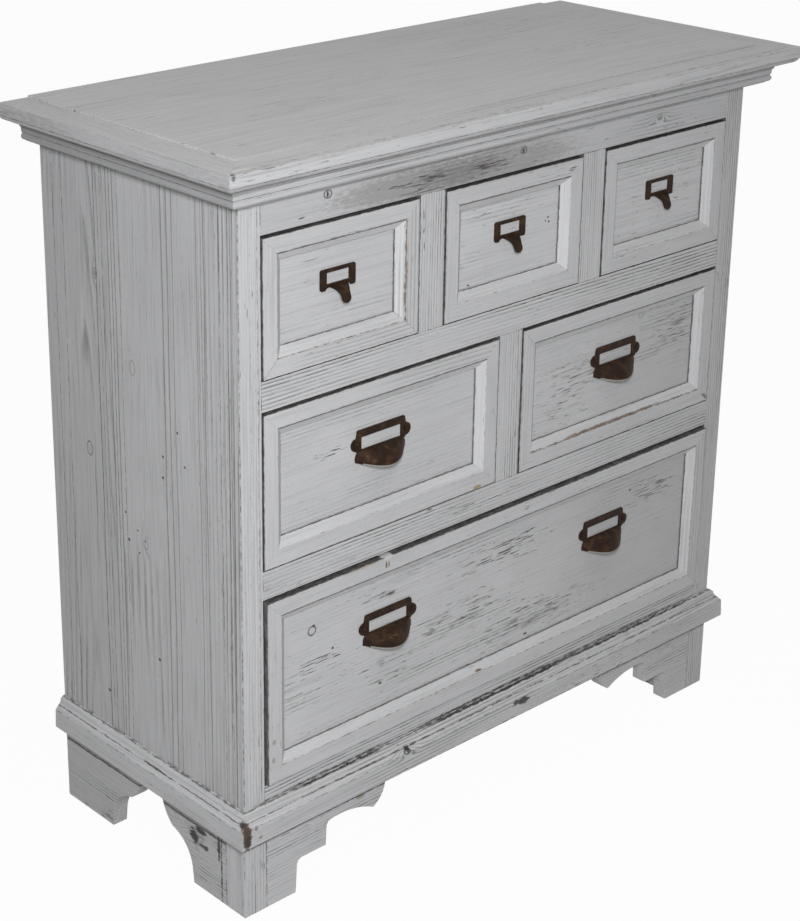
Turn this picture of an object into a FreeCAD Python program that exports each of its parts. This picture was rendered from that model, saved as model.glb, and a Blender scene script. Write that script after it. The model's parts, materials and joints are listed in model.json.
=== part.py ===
import FreeCAD, Part
import math
import os
import re
import Sketcher

# Chest of drawers in painted pine: three small drawers over two middle ones over one wide one.
# The origin is on the floor under the middle of the top, +Z is up and the fronts face -Y.

document = FreeCAD.newDocument("chest_of_drawers")
sheet = document.addObject("Spreadsheet::Sheet", "Sizes")

# Driving dimensions in millimetres
sizes = {
    # Case
    "case_width": 806,
    "case_depth": 340,
    "board": 20,
    "stile_width": 30,
    "mullion_width": 37,
    "foot_height": 101,
    "bottom_rail": 57.5,
    "low_row": 228,
    "lower_rail": 33.5,
    "middle_row": 182,
    "upper_rail": 34,
    "high_row": 157,
    "top_rail": 65,
    "side_plank_front": 61,
    "side_plank_second": 61,
    "side_plank_third": 95,
    "back_thick": 6,
    "back_rebate": 10,
    "shelf_thick": 14,
    "guide_height": 30,
    # Top
    "front_overhang": 48,
    "side_overhang": 47,
    "back_overhang": 8,
    "top_thick": 22,
    "border_width": 40,
    "border_step": 2,
    "lip_height": 6.5,
    "lip_inset": 9,
    "lip_quirk": 1.2,
    "top_plank_front": 112,
    "top_plank_middle": 94,
    # Cornice under the top
    "cornice_height": 25,
    "cornice_reach": 33,
    "cove_radius": 8,
    "cove_fillet": 1.5,
    "fascia_height": 6.5,
    "quirk_depth": 1,
    "bead_height": 8,
    "bead_reach": 21,
    "bead_radius": 4.2,
    "cornice_foot_reach": 18,
    "cornice_foot_height": 1.5,
    # Base moulding
    "base_height": 38.5,
    "base_reach": 15.5,
    "base_round_reach": 6.7,
    "base_round_drop": 4,
    "base_round_radius": 7,
    "base_step_reach": 9.7,
    "base_step_drop": 10,
    "base_step_radius": 8,
    "base_ledge_reach": 14.6,
    "base_ledge_drop": 15.5,
    # Feet
    "post_width": 32,
    "foot_width": 75,
    "foot_lean": 2,
    "foot_rise": 35,
    "foot_cove": 8,
    "shelf_run": 36,
    "shelf_lean": 1,
    "shelf_rise": 27,
    "wave_cove": 8,
    "wave_run": 65,
    "wave_fall": 12.5,
    "wave_radius": 110,
    "lobe_run": 18,
    "lobe_radius": 34,
    "side_foot_width": 92,
    "side_foot_lean": 2.5,
    "side_foot_rise": 21,
    "side_swell_run": 36,
    "side_swell_rise": 36,
    "side_swell_radius": 44,
    "side_lobe_run": 20.5,
    "side_lobe_radius": 55,
    "block_width": 38,
    "block_clear": 8,
    # Drawer fronts
    "gap_side": 2,
    "gap_above": 3.5,
    "gap_below": 1.5,
    "proud": 1,
    "ajar": 4,
    "front_thick": 20,
    "member_flat": 19.5,
    "bevel_run": 10,
    "bevel_drop": 8,
    "panel_drop": 10,
    "panel_thick": 8,
    "panel_rebate": 8,
    "panel_play": 1,
    # Drawer boxes
    "box_inset": 1,
    "box_side": 12,
    "box_lift": 0.3,
    "box_headroom": 12,
    "box_back_gap": 0.5,
    "box_bottom": 5,
    "groove_height": 8,
    "groove_depth": 5,
    # Small label pulls
    "label_width": 49.5,
    "label_height": 20.5,
    "label_raise": 10.7,
    "label_thick": 2,
    "label_corner": 2.5,
    "label_ear": 3,
    "label_ear_width": 7,
    "label_ear_fillet": 4,
    "window_width": 32,
    "window_height": 12.7,
    "window_below_top": 4,
    "tongue_root": 28,
    "tongue_width": 12,
    "tongue_reach": 15.5,
    "tongue_drop": 17,
    "tongue_start": 1,
    "tongue_thick": 2,
    "tongue_flare": 9,
    "tongue_flare_radius": 9.5,
    # Cup pulls
    "cup_bar_half": 36,
    "cup_top": 30,
    "cup_bar_clip": 2.5,
    "cup_thick": 2,
    "cup_window_half": 29.9,
    "cup_window_top": 21.4,
    "cup_window_foot": 6.6,
    "ear_level": 13.5,
    "ear_middle": 37,
    "ear_radius": 7.5,
    "cup_waist_half": 33,
    "cup_waist_level": -1,
    "cup_hem_level": -7,
    "dome_half": 38,
    "dome_reach": 20.5,
    "dome_cheek": 5,
    "dome_shoulder": 9.5,
    "dome_wall": 1.5,
    "rim_front_level": -15,
    "rim_back_level": -8,
    "cup_spread": 185,
    "low_pull_raise": 12,
    "screw_spread": 38.5,
    "screw_head": 3.6,
    "screw_rise": 1.4,
    "screw_shank": 1.9,
    "screw_length": 8,
    "screw_play": 0.05,
    "slot_width": 1,
    "slot_depth": 0.8,
}
for row, (size_name, size) in enumerate(sizes.items(), start=1):
    sheet.set(f"A{row}", size_name)
    sheet.set(f"B{row}", str(size))
    sheet.setAlias(f"B{row}", size_name)
document.recompute()

nodes = {}


# A formula in size names, as an expression that reads the sheet
def formula(text):
    return re.sub(r"[a-z]\w*", lambda word: "Sizes." * (word.group() in sizes) + word.group(), text)


def measure(text):
    return float(sheet.evalExpression(formula(text)))


def minus(text):
    return f"-({text})"


def bind(item, **formulas):
    for target, text in formulas.items():
        item.setExpression(target.replace("__", "."), formula(text))


def place(item, base, rotation=None):
    if rotation:
        item.Placement = FreeCAD.Placement(FreeCAD.Vector(), rotation)
    bind(item, Placement__Base__x=base[0], Placement__Base__y=base[1], Placement__Base__z=base[2])


def keep(name, *pieces):
    if len(pieces) == 1:
        pieces[0].Label = name
        nodes[name] = pieces[0]
        return
    group = document.addObject("Part::Compound", name)
    group.Links = list(pieces)
    nodes[name] = group


def box(base, spans):
    item = document.addObject("Part::Box", "board")
    bind(item, Length=spans[0], Width=spans[1], Height=spans[2])
    place(item, base)
    return item


# A closed loop of corners (across, up). A corner with a radius and a side starts an arc,
# which bulges to the left (1) or right (-1) of the way to the next corner.
def draw_loop(sketch, corners):
    points = [FreeCAD.Vector(measure(corner[0]), measure(corner[1])) for corner in corners]
    ends = []
    for index, corner in enumerate(corners):
        start = points[index]
        finish = points[(index + 1) % len(points)]
        if len(corner) == 2:
            edge = sketch.addGeometry(Part.LineSegment(start, finish))
            ends.append((edge, 1, 2))
            continue
        chord = finish - start
        left = FreeCAD.Vector(-chord.y, chord.x).normalize()
        radius = measure(corner[2])
        swell = radius - math.sqrt(max(radius ** 2 - chord.Length ** 2 / 4, 0))
        edge = sketch.addGeometry(Part.Arc(start, (start + finish) / 2 + left * swell * corner[3], finish))
        turned = sketch.getPoint(edge, 1).distanceToPoint(start) > sketch.getPoint(edge, 2).distanceToPoint(start)
        ends.append((edge, 2, 1) if turned else (edge, 1, 2))
    for index, corner in enumerate(corners):
        edge, head, tail = ends[index]
        following = ends[(index + 1) % len(ends)]
        sketch.addConstraint(Sketcher.Constraint("Coincident", edge, tail, following[0], following[1]))
        for kind, axis in (("DistanceX", 0), ("DistanceY", 1)):
            constraint = Sketcher.Constraint(kind, -1, 1, edge, head, measure(corner[axis]))
            number = sketch.addConstraint(constraint)
            sketch.setExpression(f"Constraints[{number}]", formula(corner[axis]))
        if len(corner) > 2:
            number = sketch.addConstraint(Sketcher.Constraint("Radius", edge, measure(corner[2])))
            sketch.setExpression(f"Constraints[{number}]", formula(corner[2]))


def draw(body, plane, loops, shift="0"):
    sketch = body.newObject("Sketcher::SketchObject", "outline")
    support = next(item for item in body.Origin.OriginFeatures if item.Role == plane)
    sketch.AttachmentSupport = [(support, "")]
    sketch.MapMode = "FlatFace"
    bind(sketch, AttachmentOffset__Base__z=shift)
    for corners in loops:
        draw_loop(sketch, corners)
    return sketch


def new_body():
    return document.addObject("PartDesign::Body", "piece")


def pad(body, plane, loops, length, shift="0", both_ways=False, backward=False):
    feature = body.newObject("PartDesign::Pad", "pad")
    feature.Profile = draw(body, plane, loops, shift)
    bind(feature, Length=length)
    feature.Reversed = backward
    if both_ways:
        feature.SideType = "Symmetric"
    return feature


def pocket(body, plane, loops, length, shift="0", both_ways=False):
    feature = body.newObject("PartDesign::Pocket", "pocket")
    feature.Profile = draw(body, plane, loops, shift)
    bind(feature, Length=length)
    if both_ways:
        feature.SideType = "Symmetric"
    return feature


# The right half of an outline, from its top corner down, and its mirror image back up.
# A last corner at 0 lies on the middle line and is drawn once.
def both_halves(corners):
    mirrored = []
    last = len(corners) - (corners[-1][0] == "0")
    if last < len(corners):
        corners = corners[:-1] + [corners[-1][:2] + corners[-2][2:]]
    for index in range(last - 1, -1, -1):
        corner = corners[index]
        arc = corners[index - 1][2:] if index else ()
        mirrored.append((minus(corner[0]), corner[1]) + arc)
    return corners + mirrored


def rectangle(left, low, right, high):
    return [(left, low), (right, low), (right, high), (left, high)]


# A moulding runs along +X from 0 to its run, stands out to -Y by its reach, and has a profile
# of corners (outward, up). A mitred end carries on outward at 45 degrees.
def moulding(profile, run, reach, mitred, base, rotation):
    body = new_body()
    across = []
    for corner in profile:
        arc = (corner[2], -corner[3]) if len(corner) > 2 else ()
        across.append((minus(corner[0]), corner[1]) + arc)
    start = minus(reach) if mitred[0] else "0"
    length = " + ".join([f"({run})"] + [f"({reach})"] * (mitred[0] + mitred[1]))
    pad(body, "YZ_Plane", [across], length, shift=start)
    past = f"({reach} + {spare})"
    cuts = []
    if mitred[0]:
        cuts.append([(spare, spare), (minus(past), minus(past)), (minus(past), spare)])
    if mitred[1]:
        end = f"{run} + {past}"
        cuts.append([(f"{run} - {spare}", spare), (end, spare), (end, minus(past))])
    pocket(body, "XY_Plane", cuts, through, both_ways=True)
    place(body, base, rotation)
    return body


def turned(angle):
    return FreeCAD.Rotation(FreeCAD.Vector(0, 0, 1), angle)


# Round holes right through, on both sides of the body's XZ plane
def drill(body, spots, radius, length):
    sketch = draw(body, "XZ_Plane", [])
    for across, up in spots:
        centre = FreeCAD.Vector(measure(across), measure(up))
        circle = sketch.addGeometry(Part.Circle(centre, FreeCAD.Vector(0, 0, 1), measure(radius)))
        for kind, text in (("DistanceX", across), ("DistanceY", up)):
            number = sketch.addConstraint(Sketcher.Constraint(kind, -1, 1, circle, 3, measure(text)))
            sketch.setExpression(f"Constraints[{number}]", formula(text))
        number = sketch.addConstraint(Sketcher.Constraint("Radius", circle, measure(radius)))
        sketch.setExpression(f"Constraints[{number}]", formula(radius))
    hole = body.newObject("PartDesign::Pocket", "hole")
    hole.Profile = sketch
    bind(hole, Length=length)
    hole.SideType = "Symmetric"


# How far a cutter runs past what it cuts, and a length that goes through any moulding
spare = "1"
through = "4 * (cornice_height + front_thick)"

# Levels and planes of the case
half = "(case_width / 2)"
face = "((front_overhang - case_depth - back_overhang) / 2)"
rear = f"({face} + case_depth)"
rear_inside = f"({rear} - back_thick)"
case_top = "(foot_height + bottom_rail + low_row + lower_rail + middle_row + upper_rail + high_row + top_rail)"
low_floor = "(foot_height + bottom_rail)"
low_roof = f"({low_floor} + low_row)"
middle_floor = f"({low_roof} + lower_rail)"
middle_roof = f"({middle_floor} + middle_row)"
high_floor = f"({middle_roof} + upper_rail)"
high_roof = f"({high_floor} + high_row)"
inside = f"({half} - board)"
clear = f"({half} - stile_width)"
clear_width = "(case_width - 2 * stile_width)"
high_width = f"(({clear_width} - 2 * mullion_width) / 3)"
middle_width = f"(({clear_width} - mullion_width) / 2)"
behind_face = f"({face} + board)"
shelf_depth = f"({rear_inside} - {behind_face})"


# Top: three planks with a border that is mitred at the front corners and open at the back
def make_top():
    field_front = f"({face} - front_overhang + border_width)"
    field_back = f"({rear} + back_overhang)"
    field_half = f"({half} + side_overhang - border_width)"
    joints = [field_front, f"{field_front} + top_plank_front",
              f"{field_front} + top_plank_front + top_plank_middle", field_back]
    planks = []
    for front_edge, back_edge in zip(joints, joints[1:]):
        spans = (f"2 * {field_half}", f"{back_edge} - ({front_edge})", "top_thick")
        planks.append(box((minus(field_half), front_edge, case_top), spans))
    keep("top_planks", *planks)
    upper = "top_thick - border_step"
    profile = [("0", "0"), ("border_width - lip_inset", "0", "lip_inset", -1),
               ("border_width - lip_quirk", "lip_height"), ("border_width", "lip_height"),
               ("border_width", upper), ("0", upper)]
    depth = f"({field_back} - {field_front})"
    front = moulding(profile, f"2 * {field_half}", "border_width", (True, True),
                     (minus(field_half), field_front, case_top), turned(0))
    left = moulding(profile, depth, "border_width", (False, True),
                    (minus(field_half), field_back, case_top), turned(-90))
    right = moulding(profile, depth, "border_width", (True, False),
                     (field_half, field_front, case_top), turned(90))
    keep("top_border_front", front)
    keep("top_border_left", left)
    keep("top_border_right", right)


# A band of moulding round the front and both sides, square at the back
def band(name, profile, reach, level):
    front = moulding(profile, "case_width", reach, (True, True), (minus(half), face, level), turned(0))
    left = moulding(profile, "case_depth", reach, (False, True), (minus(half), rear, level), turned(-90))
    right = moulding(profile, "case_depth", reach, (True, False), (half, face, level), turned(90))
    keep(f"{name}_front", front)
    keep(f"{name}_left", left)
    keep(f"{name}_right", right)


# Cornice: cove, fillet, fascia, quirk and bead, from the underside of the top down
def make_cornice():
    cove_end = "cornice_height - cove_radius"
    fascia_end = f"{cove_end} - fascia_height"
    bead_top = "cornice_foot_height + bead_height"
    profile = [("0", "0"), ("cornice_foot_reach", "0"), ("cornice_foot_reach", "cornice_foot_height"),
               ("bead_reach - quirk_depth", "cornice_foot_height", "bead_radius", -1),
               ("bead_reach", bead_top), ("bead_reach + quirk_depth", bead_top),
               ("bead_reach + quirk_depth", fascia_end), ("bead_reach + 2 * quirk_depth", fascia_end),
               ("cornice_reach - cove_radius - cove_fillet", cove_end),
               ("cornice_reach - cove_radius", cove_end, "cove_radius", 1),
               ("cornice_reach", "cornice_height"), ("0", "cornice_height")]
    band("cornice", profile, "cornice_reach", f"{case_top} - cornice_height")


# Base moulding: a rounded nose, a hollow, a ledge and an upright face
def make_base_moulding():
    profile = [("0", "0"), ("base_reach", "0"), ("base_ledge_reach", "base_height - base_ledge_drop"),
               ("base_step_reach", "base_height - base_step_drop", "base_step_radius", 1),
               ("base_round_reach", "base_height - base_round_drop", "base_round_radius", -1),
               ("0", "base_height")]
    band("base_moulding", profile, "base_reach", "foot_height")


# Sides: four upright planks each, the front one mitred to the stile, the last one rebated
def make_sides():
    joints = [face, f"{face} + side_plank_front", f"{face} + side_plank_front + side_plank_second",
              f"{face} + side_plank_front + side_plank_second + side_plank_third", rear]
    height = f"{case_top} - foot_height"
    for name, outer, inner, rebate in (
        ("left", minus(half), minus(inside), f"-({half} - back_rebate)"),
        ("right", half, inside, f"({half} - back_rebate)"),
    ):
        planks = []
        for number, (front_edge, back_edge) in enumerate(zip(joints, joints[1:])):
            if number == 0:
                corners = [(outer, face), (outer, back_edge), (inner, back_edge), (inner, behind_face)]
            elif number == 3:
                corners = [(outer, front_edge), (outer, rear), (rebate, rear), (rebate, rear_inside),
                           (inner, rear_inside), (inner, front_edge)]
            else:
                corners = [(outer, front_edge), (outer, back_edge), (inner, back_edge), (inner, front_edge)]
            plank = new_body()
            pad(plank, "XY_Plane", [corners], height)
            place(plank, ("0", "0", "foot_height"))
            planks.append(plank)
        keep(f"side_{name}", *planks)
        stile = new_body()
        edge = minus(clear) if name == "left" else clear
        corners = [(outer, face), (edge, face), (edge, behind_face), (inner, behind_face)]
        pad(stile, "XY_Plane", [corners], height)
        place(stile, ("0", "0", "foot_height"))
        keep(f"stile_{name}", stile)


# Rails between the stiles and mullions between the drawers of a row
def make_face_frame():
    for name, level, height in (
        ("top", high_roof, "top_rail"),
        ("upper", middle_roof, "upper_rail"),
        ("lower", low_roof, "lower_rail"),
        ("bottom", "foot_height", "bottom_rail"),
    ):
        keep(f"rail_{name}", box((minus(clear), face, level), (clear_width, "board", height)))
    posts = []
    for side in ("-1", "1"):
        middle = f"{side} * ({high_width} + mullion_width) / 2"
        posts.append(box((f"{middle} - mullion_width / 2", face, high_floor), ("mullion_width", "board", "high_row")))
    keep("mullions_upper", *posts)
    keep("mullion_middle", box(("-mullion_width / 2", face, middle_floor), ("mullion_width", "board", "middle_row")))


# Back, shelves under each row of drawers, and the guides that the drawers run between
def make_inside():
    back_half = f"({half} - back_rebate)"
    keep("back_panel", box((minus(back_half), rear_inside, "foot_height"),
                           (f"2 * {back_half}", "back_thick", f"{case_top} - foot_height")))
    for name, level in (("divider_upper", high_floor), ("divider_lower", middle_floor), ("bottom_board", low_floor)):
        keep(name, box((minus(inside), behind_face, f"{level} - shelf_thick"),
                       (f"2 * {inside}", shelf_depth, "shelf_thick")))
    guides = []
    for level in (low_floor, middle_floor, high_floor):
        for left in (minus(inside), clear):
            guides.append(box((left, behind_face, level), ("stile_width - board", shelf_depth, "guide_height")))
    guides.append(box(("-mullion_width / 2", behind_face, middle_floor),
                      ("mullion_width", shelf_depth, "guide_height")))
    for side in ("-1", "1"):
        middle = f"{side} * ({high_width} + mullion_width) / 2"
        guides.append(box((f"{middle} - mullion_width / 2", behind_face, high_floor),
                          ("mullion_width", shelf_depth, "guide_height")))
    keep("drawer_guides", *guides)


# Feet: corner posts, scrolled brackets between them and blocks that tie them to the case
def make_feet():
    posts = []
    for left in (minus(half), f"{half} - post_width"):
        posts.append(box((left, face, "0"), ("post_width", "post_width", "foot_height")))
    keep("foot_posts", *posts)
    step = "foot_width + foot_lean + foot_cove"
    ledge = "foot_rise + foot_cove"
    wave_start = f"{step} + shelf_run + shelf_lean + wave_cove"
    wave_top = f"{ledge} + shelf_rise + wave_cove / 2"
    for name, way in (("left", -1), ("right", 1)):
        scroll = [("post_width", "0"), ("foot_width", "0"), ("foot_width + foot_lean", "foot_rise", "foot_cove", 1),
                  (step, ledge), (f"{step} + shelf_run", ledge),
                  (f"{step} + shelf_run + shelf_lean", f"{ledge} + shelf_rise - wave_cove / 2", "wave_cove", 1),
                  (wave_start, wave_top, "wave_radius", 1),
                  (f"{wave_start} + wave_run", f"{wave_top} - wave_fall", "lobe_radius", -1),
                  (f"{wave_start} + wave_run + lobe_run", "foot_height"), ("post_width", "foot_height")]
        corners = []
        for corner in scroll:
            across = f"{way} * ({half} - ({corner[0]}))"
            arc = (corner[2], -way * corner[3]) if len(corner) > 2 else ()
            corners.append((across, corner[1]) + arc)
        bracket = new_body()
        pad(bracket, "XZ_Plane", [corners], "board", backward=True)
        place(bracket, ("0", face, "0"))
        keep(f"bracket_front_{name}", bracket)
    swell = "side_foot_width + side_foot_lean"
    swell_top = "side_foot_rise + side_swell_rise"
    for name, left in (("left", minus(half)), ("right", inside)):
        for end, origin, way, start in (("front", face, 1, "post_width"), ("back", rear, -1, "0")):
            scroll = [(start, "0"), ("side_foot_width", "0"), (swell, "side_foot_rise", "side_swell_radius", 1),
                      (f"{swell} + side_swell_run", swell_top, "side_lobe_radius", -1),
                      (f"{swell} + side_swell_run + side_lobe_run", "foot_height"), (start, "foot_height")]
            corners = []
            for corner in scroll:
                arc = (corner[2], way * corner[3]) if len(corner) > 2 else ()
                corners.append((f"{way} * ({corner[0]})", corner[1]) + arc)
            bracket = new_body()
            pad(bracket, "YZ_Plane", [corners], "board")
            place(bracket, (left, origin, "0"))
            keep(f"bracket_{name}_{end}", bracket)
    blocks = []
    height = f"{low_floor} - shelf_thick - block_clear"
    for front_left, back_left in (
        (f"-{half} + post_width", minus(inside)),
        (f"{half} - post_width - block_width", f"{inside} - block_width"),
    ):
        spans = ("block_width", "block_width", height)
        blocks.append(box((front_left, behind_face, "block_clear"), spans))
        blocks.append(box((back_left, f"{rear_inside} - block_width", "block_clear"), spans))
    keep("glue_blocks", *blocks)


# Label pull: a plate with a window and a tongue that curls out and down for a finger.
# Its own origin is on the drawer's panel, at the middle of the opening.
def label_pull(base):
    middle = "label_raise"
    top = f"{middle} + label_height / 2"
    foot = f"{middle} - label_height / 2"
    side = "label_width / 2"
    ear_inner = f"{side} - label_ear_width"
    half_plate = [(f"{side} - label_corner", top, "label_corner", 1),
                  (side, f"{top} - label_corner"),
                  (side, f"{foot} - label_ear + label_corner", "label_corner", 1),
                  (f"{side} - label_corner", f"{foot} - label_ear"),
                  (ear_inner, f"{foot} - label_ear", "label_ear_fillet", -1),
                  (f"{ear_inner} - label_ear", foot)]
    window_top = f"{top} - window_below_top"
    window = rectangle("-window_width / 2", f"{window_top} - window_height", "window_width / 2", window_top)
    plate = new_body()
    pad(plate, "XZ_Plane", [both_halves(half_plate), window], "label_thick")
    start = f"{foot} + tongue_start"
    tip = f"{start} - tongue_drop"
    bend = f"{start} - tongue_reach"
    thin = "(tongue_reach - tongue_thick)"
    front = "(label_thick / 2)"
    curl = [(f"-{front}", start, "tongue_reach", -1), (f"-{front} - tongue_reach", bend),
            (f"-{front} - tongue_reach", tip), (f"-{front} - {thin}", tip),
            (f"-{front} - {thin}", bend, thin, 1), (f"-{front}", f"{start} - tongue_thick")]
    strip = new_body()
    pad(strip, "YZ_Plane", [curl], "tongue_root", both_ways=True)
    flare_end = f"{start} - tongue_flare"
    end = "tongue_width / 2"
    half_tongue = [("tongue_root / 2", f"{start} + {spare}"),
                   ("tongue_root / 2", start, "tongue_flare_radius", -1), (end, flare_end),
                   (end, f"{tip} + {end}", end, 1), ("0", tip)]
    shape = new_body()
    pad(shape, "XZ_Plane", [both_halves(half_tongue)], "2 * tongue_reach")
    tongue = document.addObject("Part::MultiCommon", "tongue")
    tongue.Shapes = [strip, shape]
    pull = document.addObject("Part::MultiFuse", "pull")
    pull.Shapes = [plate, tongue]
    place(pull, base)
    return pull


# Hood of a cup pull, less its wall: a bowed outline from above, a quarter round from the side
# and round shoulders from the front, each drawn right through, and what they have in common.
def hood(wall):
    half_length = f"(dome_half - {wall})"
    reach = f"(dome_reach - {wall})"
    top = f"(cup_window_foot - {wall})"
    shoulder = f"(dome_shoulder - {wall})"
    deep = "(cup_window_foot - 3 * dome_reach)"
    bow = f"({reach} - dome_cheek)"
    bow_radius = f"({half_length} ^ 2 + {bow} ^ 2) / (2 * {bow})"
    above = [(half_length, "0"), (half_length, "-dome_cheek", bow_radius, 1),
             (minus(half_length), "-dome_cheek"), (minus(half_length), "0")]
    beside = [("0", top, reach, -1), (minus(reach), f"{top} - {reach}"), (minus(reach), deep), ("0", deep)]
    before = [(f"{half_length} - {shoulder}", top, shoulder, 1), (half_length, f"{top} - {shoulder}"),
              (half_length, deep)]
    solids = []
    for plane, corners in (("XY_Plane", above), ("YZ_Plane", beside), ("XZ_Plane", both_halves(before))):
        body = new_body()
        pad(body, plane, [corners], "4 * dome_half", both_ways=True)
        solids.append(body)
    return solids


# Cup pull: an eared plate with a window over a hollow hood, which is open below its tilted rim.
# Its own origin is on the panel, at the middle of the opening.
def cup_pull(base):
    half_plate = [("cup_bar_half - cup_bar_clip", "cup_top", "cup_bar_clip", 1),
                  ("cup_bar_half", "cup_top - cup_bar_clip"),
                  ("ear_middle", "ear_level + ear_radius", "ear_radius", 1),
                  ("ear_middle + ear_radius", "ear_level", "ear_radius", 1),
                  ("ear_middle", "ear_level - ear_radius"), ("cup_waist_half", "cup_waist_level"),
                  ("cup_waist_half", "cup_hem_level")]
    plate = new_body()
    pad(plate, "XZ_Plane", [both_halves(half_plate)], "cup_thick")
    out = f"-dome_reach - {spare}"
    roof = f"cup_window_foot + {spare}"
    above_rim = [("0", roof), (out, roof), (out, "rim_front_level"), ("0", "rim_back_level")]
    kept = new_body()
    pad(kept, "YZ_Plane", [above_rim], "4 * dome_half", both_ways=True)
    shell = document.addObject("Part::MultiCommon", "shell")
    shell.Shapes = hood("0") + [kept]
    solid = document.addObject("Part::MultiFuse", "solid")
    solid.Shapes = [plate, shell]
    hollow = document.addObject("Part::MultiCommon", "hollow")
    hollow.Shapes = hood("dome_wall")
    opening = new_body()
    window = rectangle("-cup_window_half", "cup_window_foot", "cup_window_half", "cup_window_top")
    pad(opening, "XZ_Plane", [window], "4 * dome_reach", both_ways=True)
    cutters = [hollow, opening]
    for way in ("-1", "1"):
        bore = document.addObject("Part::Cylinder", "bore")
        bore.Placement = FreeCAD.Placement(FreeCAD.Vector(), FreeCAD.Rotation(FreeCAD.Vector(1, 0, 0), 90))
        bind(bore, Radius="screw_shank + screw_play", Height="3 * cup_thick",
             Placement__Base__x=f"{way} * screw_spread", Placement__Base__y="cup_thick",
             Placement__Base__z="ear_level")
        cutters.append(bore)
    cut_away = document.addObject("Part::MultiFuse", "cut_away")
    cut_away.Shapes = cutters
    pull = document.addObject("Part::Cut", "pull")
    pull.Base = solid
    pull.Tool = cut_away
    place(pull, base)
    return pull


# Slotted screw, turned about its length, with its head on the plate of a cup pull
def screw(base):
    body = new_body()
    seat = "-cup_thick"
    crown = f"{seat} - screw_rise"
    tip = "screw_length - cup_thick"
    feature = body.newObject("PartDesign::Revolution", "turned")
    feature.Profile = draw(body, "YZ_Plane", [[(crown, "0"), (crown, "screw_head"), (seat, "screw_head"),
                                               (seat, "screw_shank"), (tip, "screw_shank"), (tip, "0")]])
    feature.ReferenceAxis = (feature.Profile[0], ["H_Axis"])
    feature.Angle = 360
    end = f"screw_head + {spare}"
    slot = rectangle(minus(end), "-slot_width / 2", end, "slot_width / 2")
    pocket(body, "XZ_Plane", [slot], "slot_depth", shift="cup_thick + screw_rise")
    place(body, base)
    return body


# Drawer: a mitred frame with a bevelled inner edge round a sunk panel, and a box behind it
def make_drawer(number, left, width, floor, height, ajar, pulls, pull_level="0"):
    label = f"drawer_{number}"
    low = f"({floor} + gap_below)"
    tall = f"({height} - gap_below - gap_above)"
    start = f"({left} + gap_side)"
    wide = f"({width} - 2 * gap_side)"
    front = f"({face} - proud - {ajar})"
    member = "(member_flat + bevel_run)"
    inner_wide = f"({wide} - 2 * {member})"
    inner_tall = f"({tall} - 2 * {member})"
    inner_left = f"({start} + {member})"
    inner_right = f"({inner_left} + {inner_wide})"
    inner_low = f"({low} + {member})"
    inner_high = f"({inner_low} + {inner_tall})"
    profile = [("0", "bevel_drop"), ("bevel_run", "0"), (member, "0"), (member, "front_thick"),
               ("panel_rebate", "front_thick"), ("panel_rebate", "panel_drop"), ("0", "panel_drop")]
    flat = FreeCAD.Rotation(FreeCAD.Vector(1, 0, 0), -90)
    members = []
    for angle, run, corner_x, corner_z in (
        (0, inner_wide, inner_left, inner_high),
        (90, inner_tall, inner_right, inner_high),
        (180, inner_wide, inner_right, inner_low),
        (270, inner_tall, inner_left, inner_low),
    ):
        rotation = FreeCAD.Rotation(FreeCAD.Vector(0, 1, 0), angle) * flat
        members.append(moulding(profile, run, member, (True, True), (corner_x, front, corner_z), rotation))
    keep(f"{label}_frame", *members)

    middle_x = f"({left} + {width} / 2)"
    middle_z = f"({floor} + {height} / 2)"
    panel_face = f"({front} + panel_drop)"
    tuck = "(panel_rebate - panel_play)"
    panel = new_body()
    board = rectangle(f"-{inner_wide} / 2 - {tuck}", f"{inner_low} - {middle_z} - {tuck}",
                      f"{inner_wide} / 2 + {tuck}", f"{inner_high} - {middle_z} + {tuck}")
    pad(panel, "XZ_Plane", [board], "panel_thick", backward=True)
    place(panel, (middle_x, panel_face, middle_z))
    screw_level = f"{pull_level} + ear_level"
    spots = [(f"{shift} + {way} * screw_spread", screw_level)
             for kind, shift in pulls if kind == "cup" for way in ("-1", "1")]
    if spots:
        drill(panel, spots, "screw_shank + screw_play", f"2 * (panel_thick + {spare})")
    keep(f"{label}_panel", panel)

    box_start = f"({front} + front_thick)"
    box_length = f"({rear_inside} - box_back_gap - ({face} - proud) - front_thick)"
    box_left = f"({start} + box_inset)"
    box_wide = f"({wide} - 2 * box_inset)"
    box_low = f"({floor} + box_lift)"
    box_tall = f"({height} - box_lift - box_headroom)"
    bottom_top = "(groove_height + box_bottom)"
    sides = []
    for outer, way in ((box_left, "1"), (f"({box_left} + {box_wide})", "-1")):
        deep = f"{way} * (box_side - groove_depth)"
        thick = f"{way} * box_side"
        corners = [("0", "0"), (thick, "0"), (thick, "groove_height"), (deep, "groove_height"),
                   (deep, bottom_top), (thick, bottom_top), (thick, box_tall), ("0", box_tall)]
        side = new_body()
        pad(side, "XZ_Plane", [corners], box_length, backward=True)
        place(side, (outer, box_start, box_low))
        sides.append(side)
    back = box((f"{box_left} + box_side", f"{box_start} + {box_length} - box_side", f"{box_low} + {bottom_top}"),
               (f"{box_wide} - 2 * box_side", "box_side", f"{box_tall} - {bottom_top}"))
    lining = "(box_side - groove_depth)"
    bottom = box((f"{box_left} + {lining}", box_start, f"{box_low} + groove_height"),
                 (f"{box_wide} - 2 * {lining}", box_length, "box_bottom"))
    keep(f"{label}_box", *sides, back, bottom)

    handles = []
    for kind, shift in pulls:
        make_pull = label_pull if kind == "label" else cup_pull
        handles.append(make_pull((f"{middle_x} + {shift}", panel_face, f"{middle_z} + {pull_level}")))
    keep(f"{label}_pull" if len(handles) == 1 else f"{label}_pulls", *handles)
    if spots:
        keep(f"{label}_screws", *[screw((f"{middle_x} + {across}", panel_face, f"{middle_z} + {up}"))
                                  for across, up in spots])


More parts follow.
